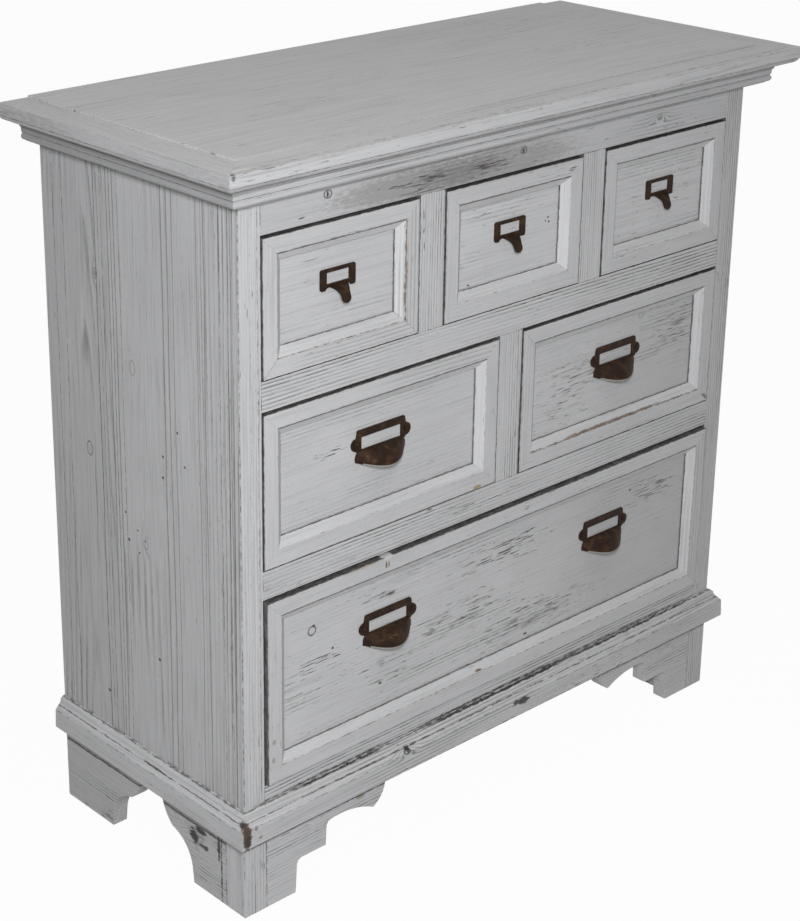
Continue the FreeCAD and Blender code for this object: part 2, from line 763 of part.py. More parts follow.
make_top()
make_cornice()
make_base_moulding()
make_sides()
make_face_frame()
make_inside()
make_feet()
for column in range(3):
    first = f"(-{clear} + {column} * ({high_width} + mullion_width))"
    make_drawer(column + 1, first, high_width, high_floor, "high_row", "0", [("label", "0")])
for column in range(2):
    first = f"(-{clear} + {column} * ({middle_width} + mullion_width))"
    make_drawer(column + 4, first, middle_width, middle_floor, "middle_row", "0", [("cup", "0")])
make_drawer(6, minus(clear), clear_width, low_floor, "low_row", "ajar",
            [("cup", "-cup_spread"), ("cup", "cup_spread")], "low_pull_raise")
document.recompute()

for item in document.Objects:
    if "Invalid" in item.State or "Error" in item.State:
        raise RuntimeError(f"{item.Name} ({item.Label}) failed")
os.makedirs("parts", exist_ok=True)
for name, item in nodes.items():
    shape = item.Shape
    if shape.isNull() or not shape.isValid() or not shape.Solids:
        raise RuntimeError(f"{name} has no valid solid")
for name, item in nodes.items():
    item.Shape.exportStep(f"parts/{name}.step")
print(len(nodes), "nodes")
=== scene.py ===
import bpy
import json
import math
import random
from mathutils import Matrix, Vector


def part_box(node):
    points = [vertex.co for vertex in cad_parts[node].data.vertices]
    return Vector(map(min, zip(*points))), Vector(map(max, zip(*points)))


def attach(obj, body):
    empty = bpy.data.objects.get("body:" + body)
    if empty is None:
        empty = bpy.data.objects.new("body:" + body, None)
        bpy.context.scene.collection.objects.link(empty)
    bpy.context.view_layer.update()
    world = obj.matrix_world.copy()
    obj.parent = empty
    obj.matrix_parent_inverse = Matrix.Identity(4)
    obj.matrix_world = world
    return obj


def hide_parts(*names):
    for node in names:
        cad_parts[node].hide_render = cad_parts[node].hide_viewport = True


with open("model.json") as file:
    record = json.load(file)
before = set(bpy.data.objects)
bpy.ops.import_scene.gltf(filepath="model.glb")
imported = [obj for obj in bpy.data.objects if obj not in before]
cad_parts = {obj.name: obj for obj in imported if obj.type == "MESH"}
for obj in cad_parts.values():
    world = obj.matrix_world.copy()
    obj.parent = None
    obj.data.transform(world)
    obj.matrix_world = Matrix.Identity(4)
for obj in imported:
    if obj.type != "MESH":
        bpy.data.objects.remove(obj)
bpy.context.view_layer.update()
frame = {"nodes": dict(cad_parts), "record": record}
mm = 0.001
print("frame loaded,", len(frame["nodes"]), "nodes")

# Camera and light

cameraSetup = {
    "place": (-1.63035, -1.65475, 1.39925),
    "heading": 42.0798,      # degrees from +Y towards +X
    "pitch": -19.9811,
    "roll": 0.2646,
    "lens": 80.321,
    "sensor": 36,
    "shift": (0.07058, -0.13464),
    "reach": 60,
}

lampSetup = {
    "key": {"place": (-1.48, -1.58, 1.5), "size": 0.3, "power": 34, "color": (0.985, 0.988, 1.0)},
    "sky": {"place": (-0.3, -0.6, 3.2), "size": 2.6, "power": 18, "color": (1.0, 0.985, 0.955)},
    "target": (0.0, -0.05, 0.5),
    "ambient": 0.06,
}


def placeCamera():
    data = bpy.data.cameras.new("photoCamera")
    camera = bpy.data.objects.new("photoCamera", data)
    bpy.context.scene.collection.objects.link(camera)
    turn = Matrix.Rotation(math.radians(-cameraSetup["heading"]), 4, "Z")
    tilt = Matrix.Rotation(math.radians(90 + cameraSetup["pitch"]), 4, "X")
    roll = Matrix.Rotation(math.radians(cameraSetup["roll"]), 4, "Z")
    camera.matrix_world = Matrix.Translation(cameraSetup["place"]) @ turn @ tilt @ roll
    data.sensor_width = cameraSetup["sensor"]
    data.lens = cameraSetup["lens"]
    data.shift_x, data.shift_y = cameraSetup["shift"]
    data.clip_end = cameraSetup["reach"]
    bpy.context.scene.camera = camera


def placeLamp(name):
    setup = lampSetup[name]
    data = bpy.data.lights.new(name, "AREA")
    data.size = setup["size"]
    data.energy = setup["power"]
    data.color = setup["color"]
    lamp = bpy.data.objects.new(name, data)
    bpy.context.scene.collection.objects.link(lamp)
    lamp.location = setup["place"]
    aim = Vector(lampSetup["target"]) - Vector(setup["place"])
    lamp.rotation_euler = aim.to_track_quat("-Z", "Y").to_euler()


placeCamera()
placeLamp("key")
placeLamp("sky")

# Node helpers


def feed(tree, socket, value):
    if isinstance(value, bpy.types.NodeSocket):
        tree.links.new(value, socket)
    else:
        socket.default_value = value


def add(tree, kind, inputs=None, **settings):
    node = tree.nodes.new("ShaderNode" + kind)
    for name, value in settings.items():
        setattr(node, name, value)
    for name, value in (inputs or {}).items():
        feed(tree, node.inputs[name], value)
    return node


def calc(tree, operation, *values):
    node = add(tree, "Math", operation=operation)
    for socket, value in zip(node.inputs, values):
        feed(tree, socket, value)
    return node.outputs[0]


def calcVector(tree, operation, *values, scale=None, out="Vector"):
    node = add(tree, "VectorMath", operation=operation)
    for socket, value in zip(node.inputs, values):
        feed(tree, socket, value)
    if scale is not None:
        feed(tree, node.inputs["Scale"], scale)
    return node.outputs[out]


def fade(tree, value, low, high):      # 0 below low, 1 above high, smooth between
    node = add(tree, "MapRange", interpolation_type="SMOOTHSTEP")
    feed(tree, node.inputs["Value"], value)
    feed(tree, node.inputs["From Min"], low)
    feed(tree, node.inputs["From Max"], high)
    return node.outputs["Result"]


def fall(tree, value, low, high):      # 1 below low, 0 above high
    return calc(tree, "SUBTRACT", 1.0, fade(tree, value, low, high))


def times(tree, first, second, plus=0.0):           # first times second, plus a third
    return calc(tree, "MULTIPLY_ADD", first, second, plus)


def apart(tree, first, second):
    return calc(tree, "ABSOLUTE", calc(tree, "SUBTRACT", first, second))


def sides(tree, vector):               # its X, Y and Z
    return add(tree, "SeparateXYZ", {"Vector": vector}).outputs


def noise(tree, vector, scale, detail=2.0, roughness=0.5, distortion=0.0):
    inputs = {"Vector": vector, "Scale": scale, "Detail": detail}
    inputs |= {"Roughness": roughness, "Distortion": distortion}
    return add(tree, "TexNoise", inputs).outputs["Fac"]


def mix(tree, factor, first, second):
    node = add(tree, "Mix", data_type="RGBA")
    feed(tree, node.inputs[0], factor)
    feed(tree, node.inputs[6], opaque(first))
    feed(tree, node.inputs[7], opaque(second))
    return node.outputs[2]


def opaque(color):
    return color if isinstance(color, bpy.types.NodeSocket) else (*color, 1)


def stretch(tree, vector, along, across):
    return calcVector(tree, "MULTIPLY", vector, (along, across, across))


def surface(tree, shader, color, height, depth, strength, rough, specular):
    bump = add(tree, "Bump", {"Height": height, "Distance": depth, "Strength": strength})
    inputs = {"Base Color": color, "Normal": bump.outputs[0], "Roughness": rough}
    inputs["Specular IOR Level"] = specular
    for name, value in inputs.items():
        feed(tree, shader.inputs[name], value)


def newMaterial(name):
    material = bpy.data.materials.new(name)
    material.use_nodes = True
    tree = material.node_tree
    tree.nodes.clear()
    shader = add(tree, "BsdfPrincipled")
    output = add(tree, "OutputMaterial")
    tree.links.new(shader.outputs[0], output.inputs["Surface"])
    return material, tree, shader


# Stage: pale floor that keeps the shadow, and a white surround

stageSetup = {"size": 60, "floor": (0.60, 0.60, 0.60), "glow": 0.97, "roughness": 0.9, "specular": 0.1}


def pictureRay(tree):                  # 1 for what the camera sees, also in gloss and glass
    path = add(tree, "LightPath")
    seen = calc(tree, "MAXIMUM", path.outputs["Is Camera Ray"], path.outputs["Is Glossy Ray"])
    return calc(tree, "MAXIMUM", seen, path.outputs["Is Transmission Ray"])


def makeStage():
    bpy.ops.object.select_all(action="DESELECT")
    bpy.ops.mesh.primitive_plane_add(size=stageSetup["size"])
    floor = bpy.context.active_object
    floor.name = "floor"
    material, tree, shader = newMaterial("paleFloor")
    shader.inputs["Base Color"].default_value = opaque(stageSetup["floor"])
    shader.inputs["Roughness"].default_value = stageSetup["roughness"]
    shader.inputs["Specular IOR Level"].default_value = stageSetup["specular"]
    glow = add(tree, "Emission")
    share = times(tree, pictureRay(tree), stageSetup["glow"])
    both = add(tree, "MixShader", {"Fac": share})
    tree.links.new(shader.outputs[0], both.inputs[1])
    tree.links.new(glow.outputs[0], both.inputs[2])
    tree.links.new(both.outputs[0], tree.nodes["Material Output"].inputs["Surface"])
    floor.data.materials.append(material)
    world = bpy.data.worlds.new("surround")
    world.use_nodes = True
    sky = world.node_tree
    background = sky.nodes["Background"]
    ambient = lampSetup["ambient"]
    level = times(sky, pictureRay(sky), 1 - ambient, ambient)
    background.inputs["Color"].default_value = (1, 1, 1, 1)
    sky.links.new(level, background.inputs["Strength"])
    bpy.context.scene.world = world


makeStage()
bpy.context.scene.view_settings.view_transform = "Standard"
print("camera, lamps and stage ready")

# Painted pine: thin white paint over grain lines, dark pores, rubbed edges, old marks, and painted light
# and shade

paint = {
    "white": (0.665, 0.668, 0.675),
    "thin": (0.190, 0.188, 0.194),     # paint worn thin over the late wood
    "ridge": (0.820, 0.822, 0.828),    # thick paint beside it, and the painted light on slopes that look down
    "pore": (0.036, 0.032, 0.030),
    "stain": (0.130, 0.125, 0.125),    # stain and painted shade on edges that face into the gaps
    # painted shade, for the top's front steps and the right of the lower panels
    "paintedShade": (0.430, 0.430, 0.430),
    "dirt": (0.150, 0.138, 0.126),
    "wood": (0.155, 0.093, 0.055),
    "filler": (0.420, 0.310, 0.180),
    "chip": (0.760, 0.755, 0.740),
    "strength": 0.8,
    "roughness": 0.56,
    "specular": 0.32,
}

plainLook = {
    "tone": 1.0,                       # brightness of the paint
    "rings": 4.0 * mm,                 # spacing of the grain lines
    "pith": (0.05, 0.30),              # m from the board's middle, along Y or -X and along Z or -X
    "tilt": 0.0,                       # slope of the rings, which draws pointed arches
    "wander": 20 * mm,
    "quiver": 2.6 * mm,
    "grain": 0.5,                      # how dark the grain lines are
    "share": 0.5,                      # how much of the board they cover
    "broken": 0.3,                     # how far they break up into dashes
    "heavy": 0.4,                      # how black the worst of them get
    "ridge": 0.5,                      # how white the ridges beside them are
    "fibre": 0.25,
    "pores": 0.35,                     # share of dark dashes
    "edge": 0.35,                      # share of the long edges that is worn
    "edgeWidth": 0.9 * mm,
    "endWidth": 0.8 * mm,
    "ends": 0.4,
    "relief": 0.4,                     # depth of the brushed grain, mm
    "stained": "",                     # axes along which a face gets a dark coat: stain and painted shade in the gaps
    "stainKind": "stain",
    "paintedLightDown": 0.0,                       # painted light on slopes that look down
    "frameBox": None,                  # box that the rules are measured from
    "rules": (),
    "mitre": 0.0,
    "lines": (),
    "knots": (),
    "cracks": (),
    "patches": (),
    "stains": (),
}


# Marks in the paint: places and lengths in m, widths and knot sizes in mm


def blot(at, size, kind="dirt", dark=0.8, ragged=1.2, **more):
    return {"at": at, "size": size, "kind": kind, "dark": dark, "ragged": ragged, **more}


def seam(side, at, width, share, dark=0.85, kind="pore", **more):      # a line across one axis
    return {"side": side, "at": at, "width": width * mm, "share": share, "dark": dark, "kind": kind, **more}


def ruled(at, width, share, dark, kind="pore"):    # a line inside a drawer front's outline
    return {"at": at * mm, "width": width * mm, "share": share, "dark": dark, "kind": kind}


def eye(at, size, ring, heart, **more):            # a knot
    return {"at": at, "size": size * mm, "ring": ring, "heart": heart, **more}


def crack(at, length, width, dark=0.8, **more):
    return {"at": at, "length": length, "width": width * mm, "dark": dark, **more}


def dots(face, *rows):                             # specks at (x, z, half width, half height in mm)
    return [blot((x, face, z), (wide * mm, 20 * mm, high * mm), "pore", 0.9, 0.7)
            for x, z, wide, high in rows]


def bare(at, size, more):                          # an ellipse with more dark dashes
    return {"at": at, "size": size, "more": more}


# Shapes of the grain, the knots, the cracks and the worn shreds

grainNoises = {                        # scale along and across the grain, detail, roughness
    "slow": (1.6, 7, 2, 0.5),
    "quick": (9, 60, 2, 0.5),
    "wave": (3.5, 2, 2, 0.5),
    "wander": (22, 4, 2, 0.5),
    "patchy": (4, 16, 3, 0.5),
    "second": (3, 38, 2, 0.5),
    "fine": (9, 420, 3, 0.6),
    "planed": (12, 520, 3, 0.6),
    "finest": (30, 1300, 2, 0.6),
    "breaks": (70, 300, 2, 0.6),
    "dashes": (42, 820, 2, 0.6),
    "jag": (110, 380, 3, 0.65),
}
grainShape = {                         # parts of one ring, 0 to 1
    "late": (0.5, 0.8),
    "lateEnd": (0.9, 1.0),
    "crest": (0.0, 0.08),
    "crestEnd": (0.12, 0.4),
}
coatShares = {"dark": 0.86, "worn": 0.85, "ends": 0.8, "mitre": 0.7, "stained": 0.9}
toneShape = {"speck": 0.24, "cloud": 0.20, "least": 0.78}
reliefDepths = {"grain": -0.6, "fine": -0.55, "finest": -0.2, "dark": -0.8, "worn": -0.5}
knotShape = {
    "swellLong": 3.4,                  # reach of the bent grain, in knot sizes
    "swellWide": 1.6,
    "swell": 12 * mm,
    "long": 1.25,
    "ripple": 0.35,
    "ring": 1.17,                      # radius of the dark ring
    "band": 0.2,
    "sharp": 0.05,
    "heart": (0.5, 1.1),
}
crackShape = {"wander": 5 * mm, "deep": 40 * mm, "edge": (0.55, 1.1)}
shreds = {"near": 1.12, "thinning": 1.6, "jag": -3.2, "edge": (0.2, 0.9)}


def grainNoise(tree, shifted, name):
    along, across, detail, roughness = grainNoises[name]
    return noise(tree, stretch(tree, shifted, along, across), 1, detail, roughness)


def coat(tree, color, kind, mask, share):          # one paint colour laid over another
    return mix(tree, times(tree, mask, share), color, paint[kind])


def grainSpace(tree, axis, seed):      # object coordinates turned so that the grain runs along X
    turns = {"X": (0, 0, 0), "Y": (0, 0, -math.pi / 2), "Z": (0, math.pi / 2, 0)}
    dice = random.Random(seed)
    shift = [dice.uniform(-4, 4) for _ in range(3)]
    source = add(tree, "TexCoord").outputs["Object"]
    mapping = add(tree, "Mapping", {"Vector": source, "Rotation": turns[axis]})
    return source, mapping.outputs[0], calcVector(tree, "ADD", mapping.outputs[0], shift)


def toGrain(point, axis):              # the same turn for a point
    x, y, z = point
    return {"X": (x, y, z), "Y": (y, -x, z), "Z": (z, y, -x)}[axis]


def spot(tree, place, at, size):       # distance from a spot, in its own radii
    away = calcVector(tree, "SUBTRACT", place, at)
    return calcVector(tree, "LENGTH", calcVector(tree, "DIVIDE", away, size), out="Value")


def ringField(tree, look, turned, shifted, middle, axis):
    across, deep = look["pith"]
    pith = calcVector(tree, "SUBTRACT", turned, (middle[0], middle[1] + across, middle[2] + deep))
    parts = sides(tree, pith)
    flat = add(tree, "CombineXYZ", {"Y": parts["Y"], "Z": parts["Z"]})
    radius = calcVector(tree, "LENGTH", flat.outputs[0], out="Value")
    field = times(tree, parts["X"], look["tilt"], radius)
    field = times(tree, grainNoise(tree, shifted, "slow"), look["wander"], field)
    field = times(tree, grainNoise(tree, shifted, "quick"), look["quiver"], field)
    for knot in look["knots"]:
        at, size = toGrain(knot["at"], axis), knot["size"]
        wide = size * knotShape["swellWide"]
        reach = spot(tree, turned, at, (size * knotShape["swellLong"], wide, wide))
        swell = calc(tree, "EXPONENT", times(tree, times(tree, reach, reach), -1.0))
        field = times(tree, swell, knot.get("swell", knotShape["swell"]), field)
    return field


def knotMarks(tree, look, turned, axis, ripple):
    ring, heart = 0.0, 0.0
    for knot in look["knots"]:
        at, size = toGrain(knot["at"], axis), knot["size"]
        reach = spot(tree, turned, at, (size * knot.get("long", knotShape["long"]), size, size))
        rough = times(tree, ripple, knotShape["ripple"], reach)
        edge = apart(tree, rough, knotShape["ring"])
        band = fall(tree, edge, knotShape["sharp"], knot.get("band", knotShape["band"]))
        ring = calc(tree, "MAXIMUM", ring, times(tree, band, knot["ring"]))
        core = fall(tree, rough, *knotShape["heart"])
        heart = calc(tree, "MAXIMUM", heart, times(tree, core, knot["heart"]))
    return ring, heart


def crackMarks(tree, look, turned, shifted, axis):
    mark = 0.0
    wander = crackShape["wander"]
    bend = times(tree, grainNoise(tree, shifted, "wander"), wander, -wander / 2)
    bent = calcVector(tree, "ADD", turned, add(tree, "CombineXYZ", {"Y": bend, "Z": bend}).outputs[0])
    for split in look["cracks"]:
        into = split.get("face", "Y")
        half = [crackShape["deep"] if side == into else split["width"] / 2 for side in "XYZ"]
        half["XYZ".index(axis)] = split["length"] / 2
        half = tuple(map(abs, toGrain(half, axis)))
        line = fall(tree, spot(tree, bent, toGrain(split["at"], axis), half), *crackShape["edge"])
        mark = calc(tree, "MAXIMUM", mark, times(tree, line, split["dark"]))
    return mark


def stainMarks(tree, look, source, color, breakUp):
    for stain in look["stains"]:
        reach = spot(tree, source, stain["at"], stain["size"])
        away = times(tree, breakUp, stain["ragged"], reach)
        patch = fall(tree, away, 0.85, stain.get("soft", 1.35))
        color = coat(tree, color, stain["kind"], patch, stain["dark"])
    return color


def ragged(tree, distance, width, share, jag):     # 1 near distance 0, in shreds where the share is low
    start = (1 - share) * shreds["thinning"] + shreds["near"]
    away = times(tree, distance, 1 / width, start)
    return fall(tree, times(tree, jag, shreds["jag"], away), *shreds["edge"])


def edgeDistances(tree, turned, axis, low, high):  # to the nearer end, and to the nearest long edge
    first, second = toGrain(low, axis), toGrain(high, axis)
    least = tuple(map(min, first, second))
    most = tuple(map(max, first, second))
    near = calcVector(tree, "MINIMUM", calcVector(tree, "SUBTRACT", turned, least),
                      calcVector(tree, "SUBTRACT", most, turned))
    parts = sides(tree, near)
    return parts["X"], calc(tree, "MAXIMUM", parts["Y"], parts["Z"])


def ruleMarks(tree, look, parts, color, jag):      # lines at set distances inside a drawer front's outline
    low, high = look["frameBox"]
    toSide = []
    for side in ("X", "Z"):
        index = "XYZ".index(side)
        middle, half = (low[index] + high[index]) / 2, (high[index] - low[index]) / 2
        away = apart(tree, parts[side], middle)
        toSide.append(calc(tree, "SUBTRACT", half, away))
    inside = calc(tree, "MINIMUM", *toSide)
    for rule in look["rules"]:
        away = apart(tree, inside, rule["at"])
        mask = ragged(tree, away, rule["width"], rule["share"], jag)
        color = coat(tree, color, rule["kind"], mask, rule["dark"])
    if look["mitre"]:
        away = apart(tree, *toSide)
        mask = ragged(tree, away, look["endWidth"], look["mitre"], jag)
        color = coat(tree, color, "pore", mask, coatShares["mitre"])
    return color


def lineMarks(tree, look, parts, shifted, axis, color, jag):
    wave = calc(tree, "SUBTRACT", grainNoise(tree, shifted, "wave"), 0.5)
    for line in look["lines"]:
        off = calc(tree, "SUBTRACT", parts[line["side"]], line["at"])
        off = times(tree, wave, line.get("bend", 0.0), off)
        mask = ragged(tree, calc(tree, "ABSOLUTE", off), line["width"], line["share"], jag)
        if "span" in line:
            start, end = line["span"]
            along = apart(tree, parts[axis], (start + end) / 2)
            mask = times(tree, mask, fall(tree, along, (end - start) * 0.36, (end - start) * 0.55))
        color = coat(tree, color, line["kind"], mask, line["dark"])
        if "crest" in line:                # a white ridge on the line's side towards higher values
            beside = apart(tree, off, 1.4 * line["width"])
            crest = fall(tree, beside, 0.3 * line["width"], line["width"])
            color = coat(tree, color, "ridge", crest, line["crest"])
    return color


def paintedPine(name, axis, low, high, seed, **changes):
    look = {**plainLook, **changes}
    material, tree, shader = newMaterial(name)
    source, turned, shifted = grainSpace(tree, axis, seed)
    parts = sides(tree, source)
    field = ringField(tree, look, turned, shifted, toGrain((low + high) / 2, axis), axis)
    saw = calc(tree, "FRACT", calc(tree, "DIVIDE", field, look["rings"]))
    late = times(tree, fade(tree, saw, *grainShape["late"]), fall(tree, saw, *grainShape["lateEnd"]))
    crest = times(tree, fade(tree, saw, *grainShape["crest"]), fall(tree, saw, *grainShape["crestEnd"]))
    patchy, second, fine, finest, breaks, jag = (
        grainNoise(tree, shifted, name) for name in ("patchy", "second", "fine", "finest", "breaks", "jag"))
    cloud = noise(tree, shifted, 9, 3, 0.6)
    speck = noise(tree, shifted, 560, 2, 0.7)
    # grain lines, ridges and fibres where the paint is thin
    cover = fade(tree, patchy, 0.68 - 0.45 * look["share"], 0.84 - 0.45 * look["share"])
    whole = times(tree, fade(tree, breaks, 0.4, 0.56), look["broken"], 1 - look["broken"])
    whole = times(tree, whole, times(tree, fade(tree, second, 0.35, 0.65), 0.7, 0.3))
    grain = times(tree, times(tree, late, cover), whole)
    thin = times(tree, grain, look["grain"])
    thin = times(tree, fade(tree, fine, 0.42, 0.78), look["fibre"], thin)
    color = mix(tree, calc(tree, "MINIMUM", thin, 0.95), paint["white"], paint["thin"])
    ridge = times(tree, times(tree, crest, cover), whole)
    color = coat(tree, color, "ridge", ridge, look["ridge"])
    # the blackest lines, dashes, cracks and knots
    heavy = times(tree, times(tree, grain, fade(tree, second, 0.52, 0.62)), look["heavy"])
    bared = times(tree, patchy, 0.30, grainNoise(tree, shifted, "dashes"))
    for patch in look["patches"]:
        inside = fall(tree, spot(tree, source, patch["at"], patch["size"]), 0.2, 1.0)
        bared = times(tree, inside, patch["more"], bared)
    level = 0.93 - 0.16 * look["pores"]
    dark = calc(tree, "MAXIMUM", heavy, fade(tree, bared, level, level + 0.05))
    dark = calc(tree, "MAXIMUM", dark, crackMarks(tree, look, turned, shifted, axis))
    ring, heart = knotMarks(tree, look, turned, axis, fine)
    dark = calc(tree, "MAXIMUM", dark, ring)
    color = coat(tree, color, "pore", dark, coatShares["dark"])
    color = mix(tree, heart, color, paint["dirt"])
    # edges, ends, painted light on slopes, stain and painted shade on faces in the gaps, ruled lines and
    # single marks
    toEnd, toEdge = edgeDistances(tree, turned, axis, low, high)
    worn = ragged(tree, toEdge, look["edgeWidth"], look["edge"], jag)
    color = coat(tree, color, "pore", worn, coatShares["worn"])
    split = ragged(tree, toEnd, look["endWidth"], look["ends"], noise(tree, shifted, 110, 2))
    color = coat(tree, color, "pore", split, coatShares["ends"])
    if look["stained"]:
        # painted light on slopes that look down, then a dark coat on faces along the given axes: stain and
        # painted shade
        outward = add(tree, "NewGeometry").outputs["True Normal"]
        upward = sides(tree, outward)["Z"]
        color = coat(tree, color, "ridge", fall(tree, upward, -0.7, -0.5), look["paintedLightDown"])
        # faces along those axes get the dark coat: stain, and painted shade where they face into the gaps
        normal = sides(tree, calcVector(tree, "ABSOLUTE", outward))
        turnedIn = 0.0
        for side in look["stained"]:
            turnedIn = calc(tree, "MAXIMUM", turnedIn, normal[side])
        turnedIn = fade(tree, turnedIn, 0.85, 0.97)
        color = coat(tree, color, look["stainKind"], turnedIn, coatShares["stained"])
    if look["frameBox"]:
        color = ruleMarks(tree, look, parts, color, jag)
    color = lineMarks(tree, look, parts, shifted, axis, color, jag)
    color = stainMarks(tree, look, source, color, calc(tree, "SUBTRACT", jag, 0.5))
    # slow changes of tone over the whole board
    tone = times(tree, cloud, toneShape["cloud"], toneShape["least"])
    tone = times(tree, times(tree, speck, toneShape["speck"], tone), look["tone"])
    shaded = calcVector(tree, "SCALE", color, scale=tone)
    # relief of the brushed grain
    height = 0.0
    layers = {"grain": grain, "fine": fine, "finest": finest, "dark": dark, "worn": worn}
    for mark, layer in layers.items():
        height = times(tree, layer, reliefDepths[mark], height)
    sheen = times(tree, cloud, 0.16, paint["roughness"] - 0.08)
    sheen = times(tree, dark, 0.25, sheen)
    surface(tree, shader, shaded, height, look["relief"] * mm, paint["strength"], sheen, paint["specular"])
    return material


# Bare pine of the hidden pieces

pine = {
    "light": (0.470, 0.300, 0.150),
    "late": (0.300, 0.155, 0.062),
    "pith": (0.12, 0.07),
    "rings": 5 * mm,
    "relief": 0.25 * mm,
    "strength": 0.7,
    "roughness": 0.62,
    "specular": 0.3,
}


def barePine(name, axis, middle, seed):
    look = {**plainLook, "pith": pine["pith"]}
    material, tree, shader = newMaterial(name)
    source, turned, shifted = grainSpace(tree, axis, seed)
    field = ringField(tree, look, turned, shifted, middle, axis)
    saw = calc(tree, "FRACT", calc(tree, "DIVIDE", field, pine["rings"]))
    late = times(tree, fade(tree, saw, 0.2, 0.85), fall(tree, saw, 0.9, 1.0))
    fine = grainNoise(tree, shifted, "planed")
    cloud = noise(tree, shifted, 7, 3)
    share = times(tree, late, 0.6, times(tree, fine, 0.4))
    color = mix(tree, share, pine["light"], pine["late"])
    shaded = calcVector(tree, "SCALE", color, scale=times(tree, cloud, 0.35, 0.8))
    height = times(tree, late, 0.4, times(tree, fine, 0.6))
    rough = times(tree, fine, 0.15, pine["roughness"] - 0.08)
    surface(tree, shader, shaded, height, pine["relief"], pine["strength"], rough, pine["specular"])
    return material


# Aged iron of the pulls and screws, and a painted highlight on the cups' rims

iron = {
    "dark": (0.022, 0.011, 0.007),
    "rust": (0.052, 0.027, 0.014),
    "rubbed": (0.130, 0.085, 0.052),
    # painted highlight on the hoods' rims
    "pale": (0.330, 0.320, 0.290),
    "cover": {"rubbed": 0.6, "pale": 1.0},
    "relief": 0.3 * mm,
    "strength": 0.6,
    "roughness": 0.48,
    "specular": 0.12,
}


def agedIron(name, seed, bright="rubbed", share=0.3):   # share: how much of it gets the bright colour: rubbed metal, and on the rims a painted highlight
    material, tree, shader = newMaterial(name)
    dice = random.Random(seed)
    source = add(tree, "TexCoord").outputs["Object"]
    place = calcVector(tree, "ADD", source, tuple(dice.uniform(-3, 3) for _ in range(3)))
    blotch = noise(tree, place, 85, 4, 0.65)
    grit = noise(tree, place, 620, 3, 0.6)
    scratch = noise(tree, calcVector(tree, "MULTIPLY", place, (160, 160, 900)), 1, 2, 0.6)
    color = mix(tree, fade(tree, blotch, 0.42, 0.68), iron["dark"], iron["rust"])
    rub = times(tree, blotch, 0.6, times(tree, scratch, 0.5))
    rub = fade(tree, rub, 0.70 - 0.3 * share, 0.86 - 0.3 * share)
    color = mix(tree, times(tree, rub, iron["cover"][bright]), color, iron[bright])
    height = times(tree, grit, 0.5, blotch)
    rough = times(tree, blotch, 0.35, iron["roughness"] - 0.12)
    surface(tree, shader, color, height, iron["relief"], iron["strength"], rough, iron["specular"])
    return material


# Worn copies: each board of a node as its own piece, with softened edges


plankCuts = {                          # where the planks of one node meet, along Y
    "side_left": (-0.089, -0.028, 0.067),
    "side_right": (-0.089, -0.028, 0.067),
    "top_planks": (-0.046, 0.048),
}


def mode(name):
    bpy.ops.object.mode_set(mode=name)


def pick(item):
    bpy.ops.object.select_all(action="DESELECT")
    item.select_set(True)
    bpy.context.view_layer.objects.active = item


def copyOf(node):
    copy = frame["nodes"][node].copy()
    copy.data = copy.data.copy()
    copy.parent = None
    for key in list(copy.keys()):
        del copy[key]
    bpy.context.scene.collection.objects.link(copy)
    pick(copy)
    copy.data.materials.clear()
    bpy.ops.mesh.customdata_custom_splitnormals_clear()
    return copy


def memberOf(node, low, high, point):  # the board of a node that holds a point
    if node.endswith("_frame"):
        gaps = {"left": point.x - low.x, "right": high.x - point.x,
                "bottom": point.z - low.z, "top": high.z - point.z}
        return min(gaps, key=gaps.get)
    return str(1 + sum(point.y > cut for cut in plankCuts.get(node, ())))


def splitBoards(node):                 # neighbours share faces, so each face goes with the wood behind it
    rest, boards, inwards = copyOf(node), {}, 0.3 * mm
    low, high = boxOf(rest)
    while True:
        behind = (face.center - face.normal * inwards for face in rest.data.polygons)
        owners = [memberOf(node, low, high, point) for point in behind]
        if len(set(owners)) == 1:
            boards[owners[0]] = rest
            return boards
        pick(rest)
        mode("EDIT")
        bpy.ops.mesh.select_all(action="DESELECT")
        mode("OBJECT")
        for face, owner in zip(rest.data.polygons, owners):
            face.select = owner == owners[0]
        mode("EDIT")
        bpy.ops.mesh.separate(type="SELECTED")
        mode("OBJECT")
        boards[owners[0]] = next(item for item in bpy.context.selected_objects if item != rest)


def joinFaces(board):
    pick(board)
    mode("EDIT")
    bpy.ops.mesh.select_all(action="SELECT")
    bpy.ops.mesh.remove_doubles(threshold=0.01 * mm)
    bpy.ops.mesh.dissolve_limited(angle_limit=math.radians(0.6))


def boardsOf(node, softness):
    if node.endswith("_frame") or node in plankCuts:
        boards = splitBoards(node)
        for board in boards.values():
            joinFaces(board)
            mode("OBJECT")
    else:
        joinFaces(copyOf(node))
        bpy.ops.mesh.separate(type="LOOSE")
        mode("OBJECT")
        loose = [item for item in bpy.context.selected_objects if item.type == "MESH"]
        loose.sort(key=lambda item: tuple(round(value, 4) for value in sum(boxOf(item), Vector())))
        boards = {str(number): item for number, item in enumerate(loose, 1)}
        if len(boards) == 1:
            boards = {"worn": loose[0]}
    for board in boards.values():
        soften(board, softness)
    return {board: f"{node}_{name}" for name, board in boards.items()}


def soften(board, softness):
    pick(board)
    edges = board.modifiers.new("edges", "BEVEL")
    edges.width = softness * mm
    edges.segments = 2
    edges.limit_method = "ANGLE"
    edges.angle_limit = math.radians(32)
    edges.use_clamp_overlap = True
    bpy.ops.object.modifier_apply(modifier="edges")
    bpy.ops.object.shade_smooth()
    normals = board.modifiers.new("normals", "WEIGHTED_NORMAL")
    normals.weight = 100
    bpy.ops.object.modifier_apply(modifier="normals")


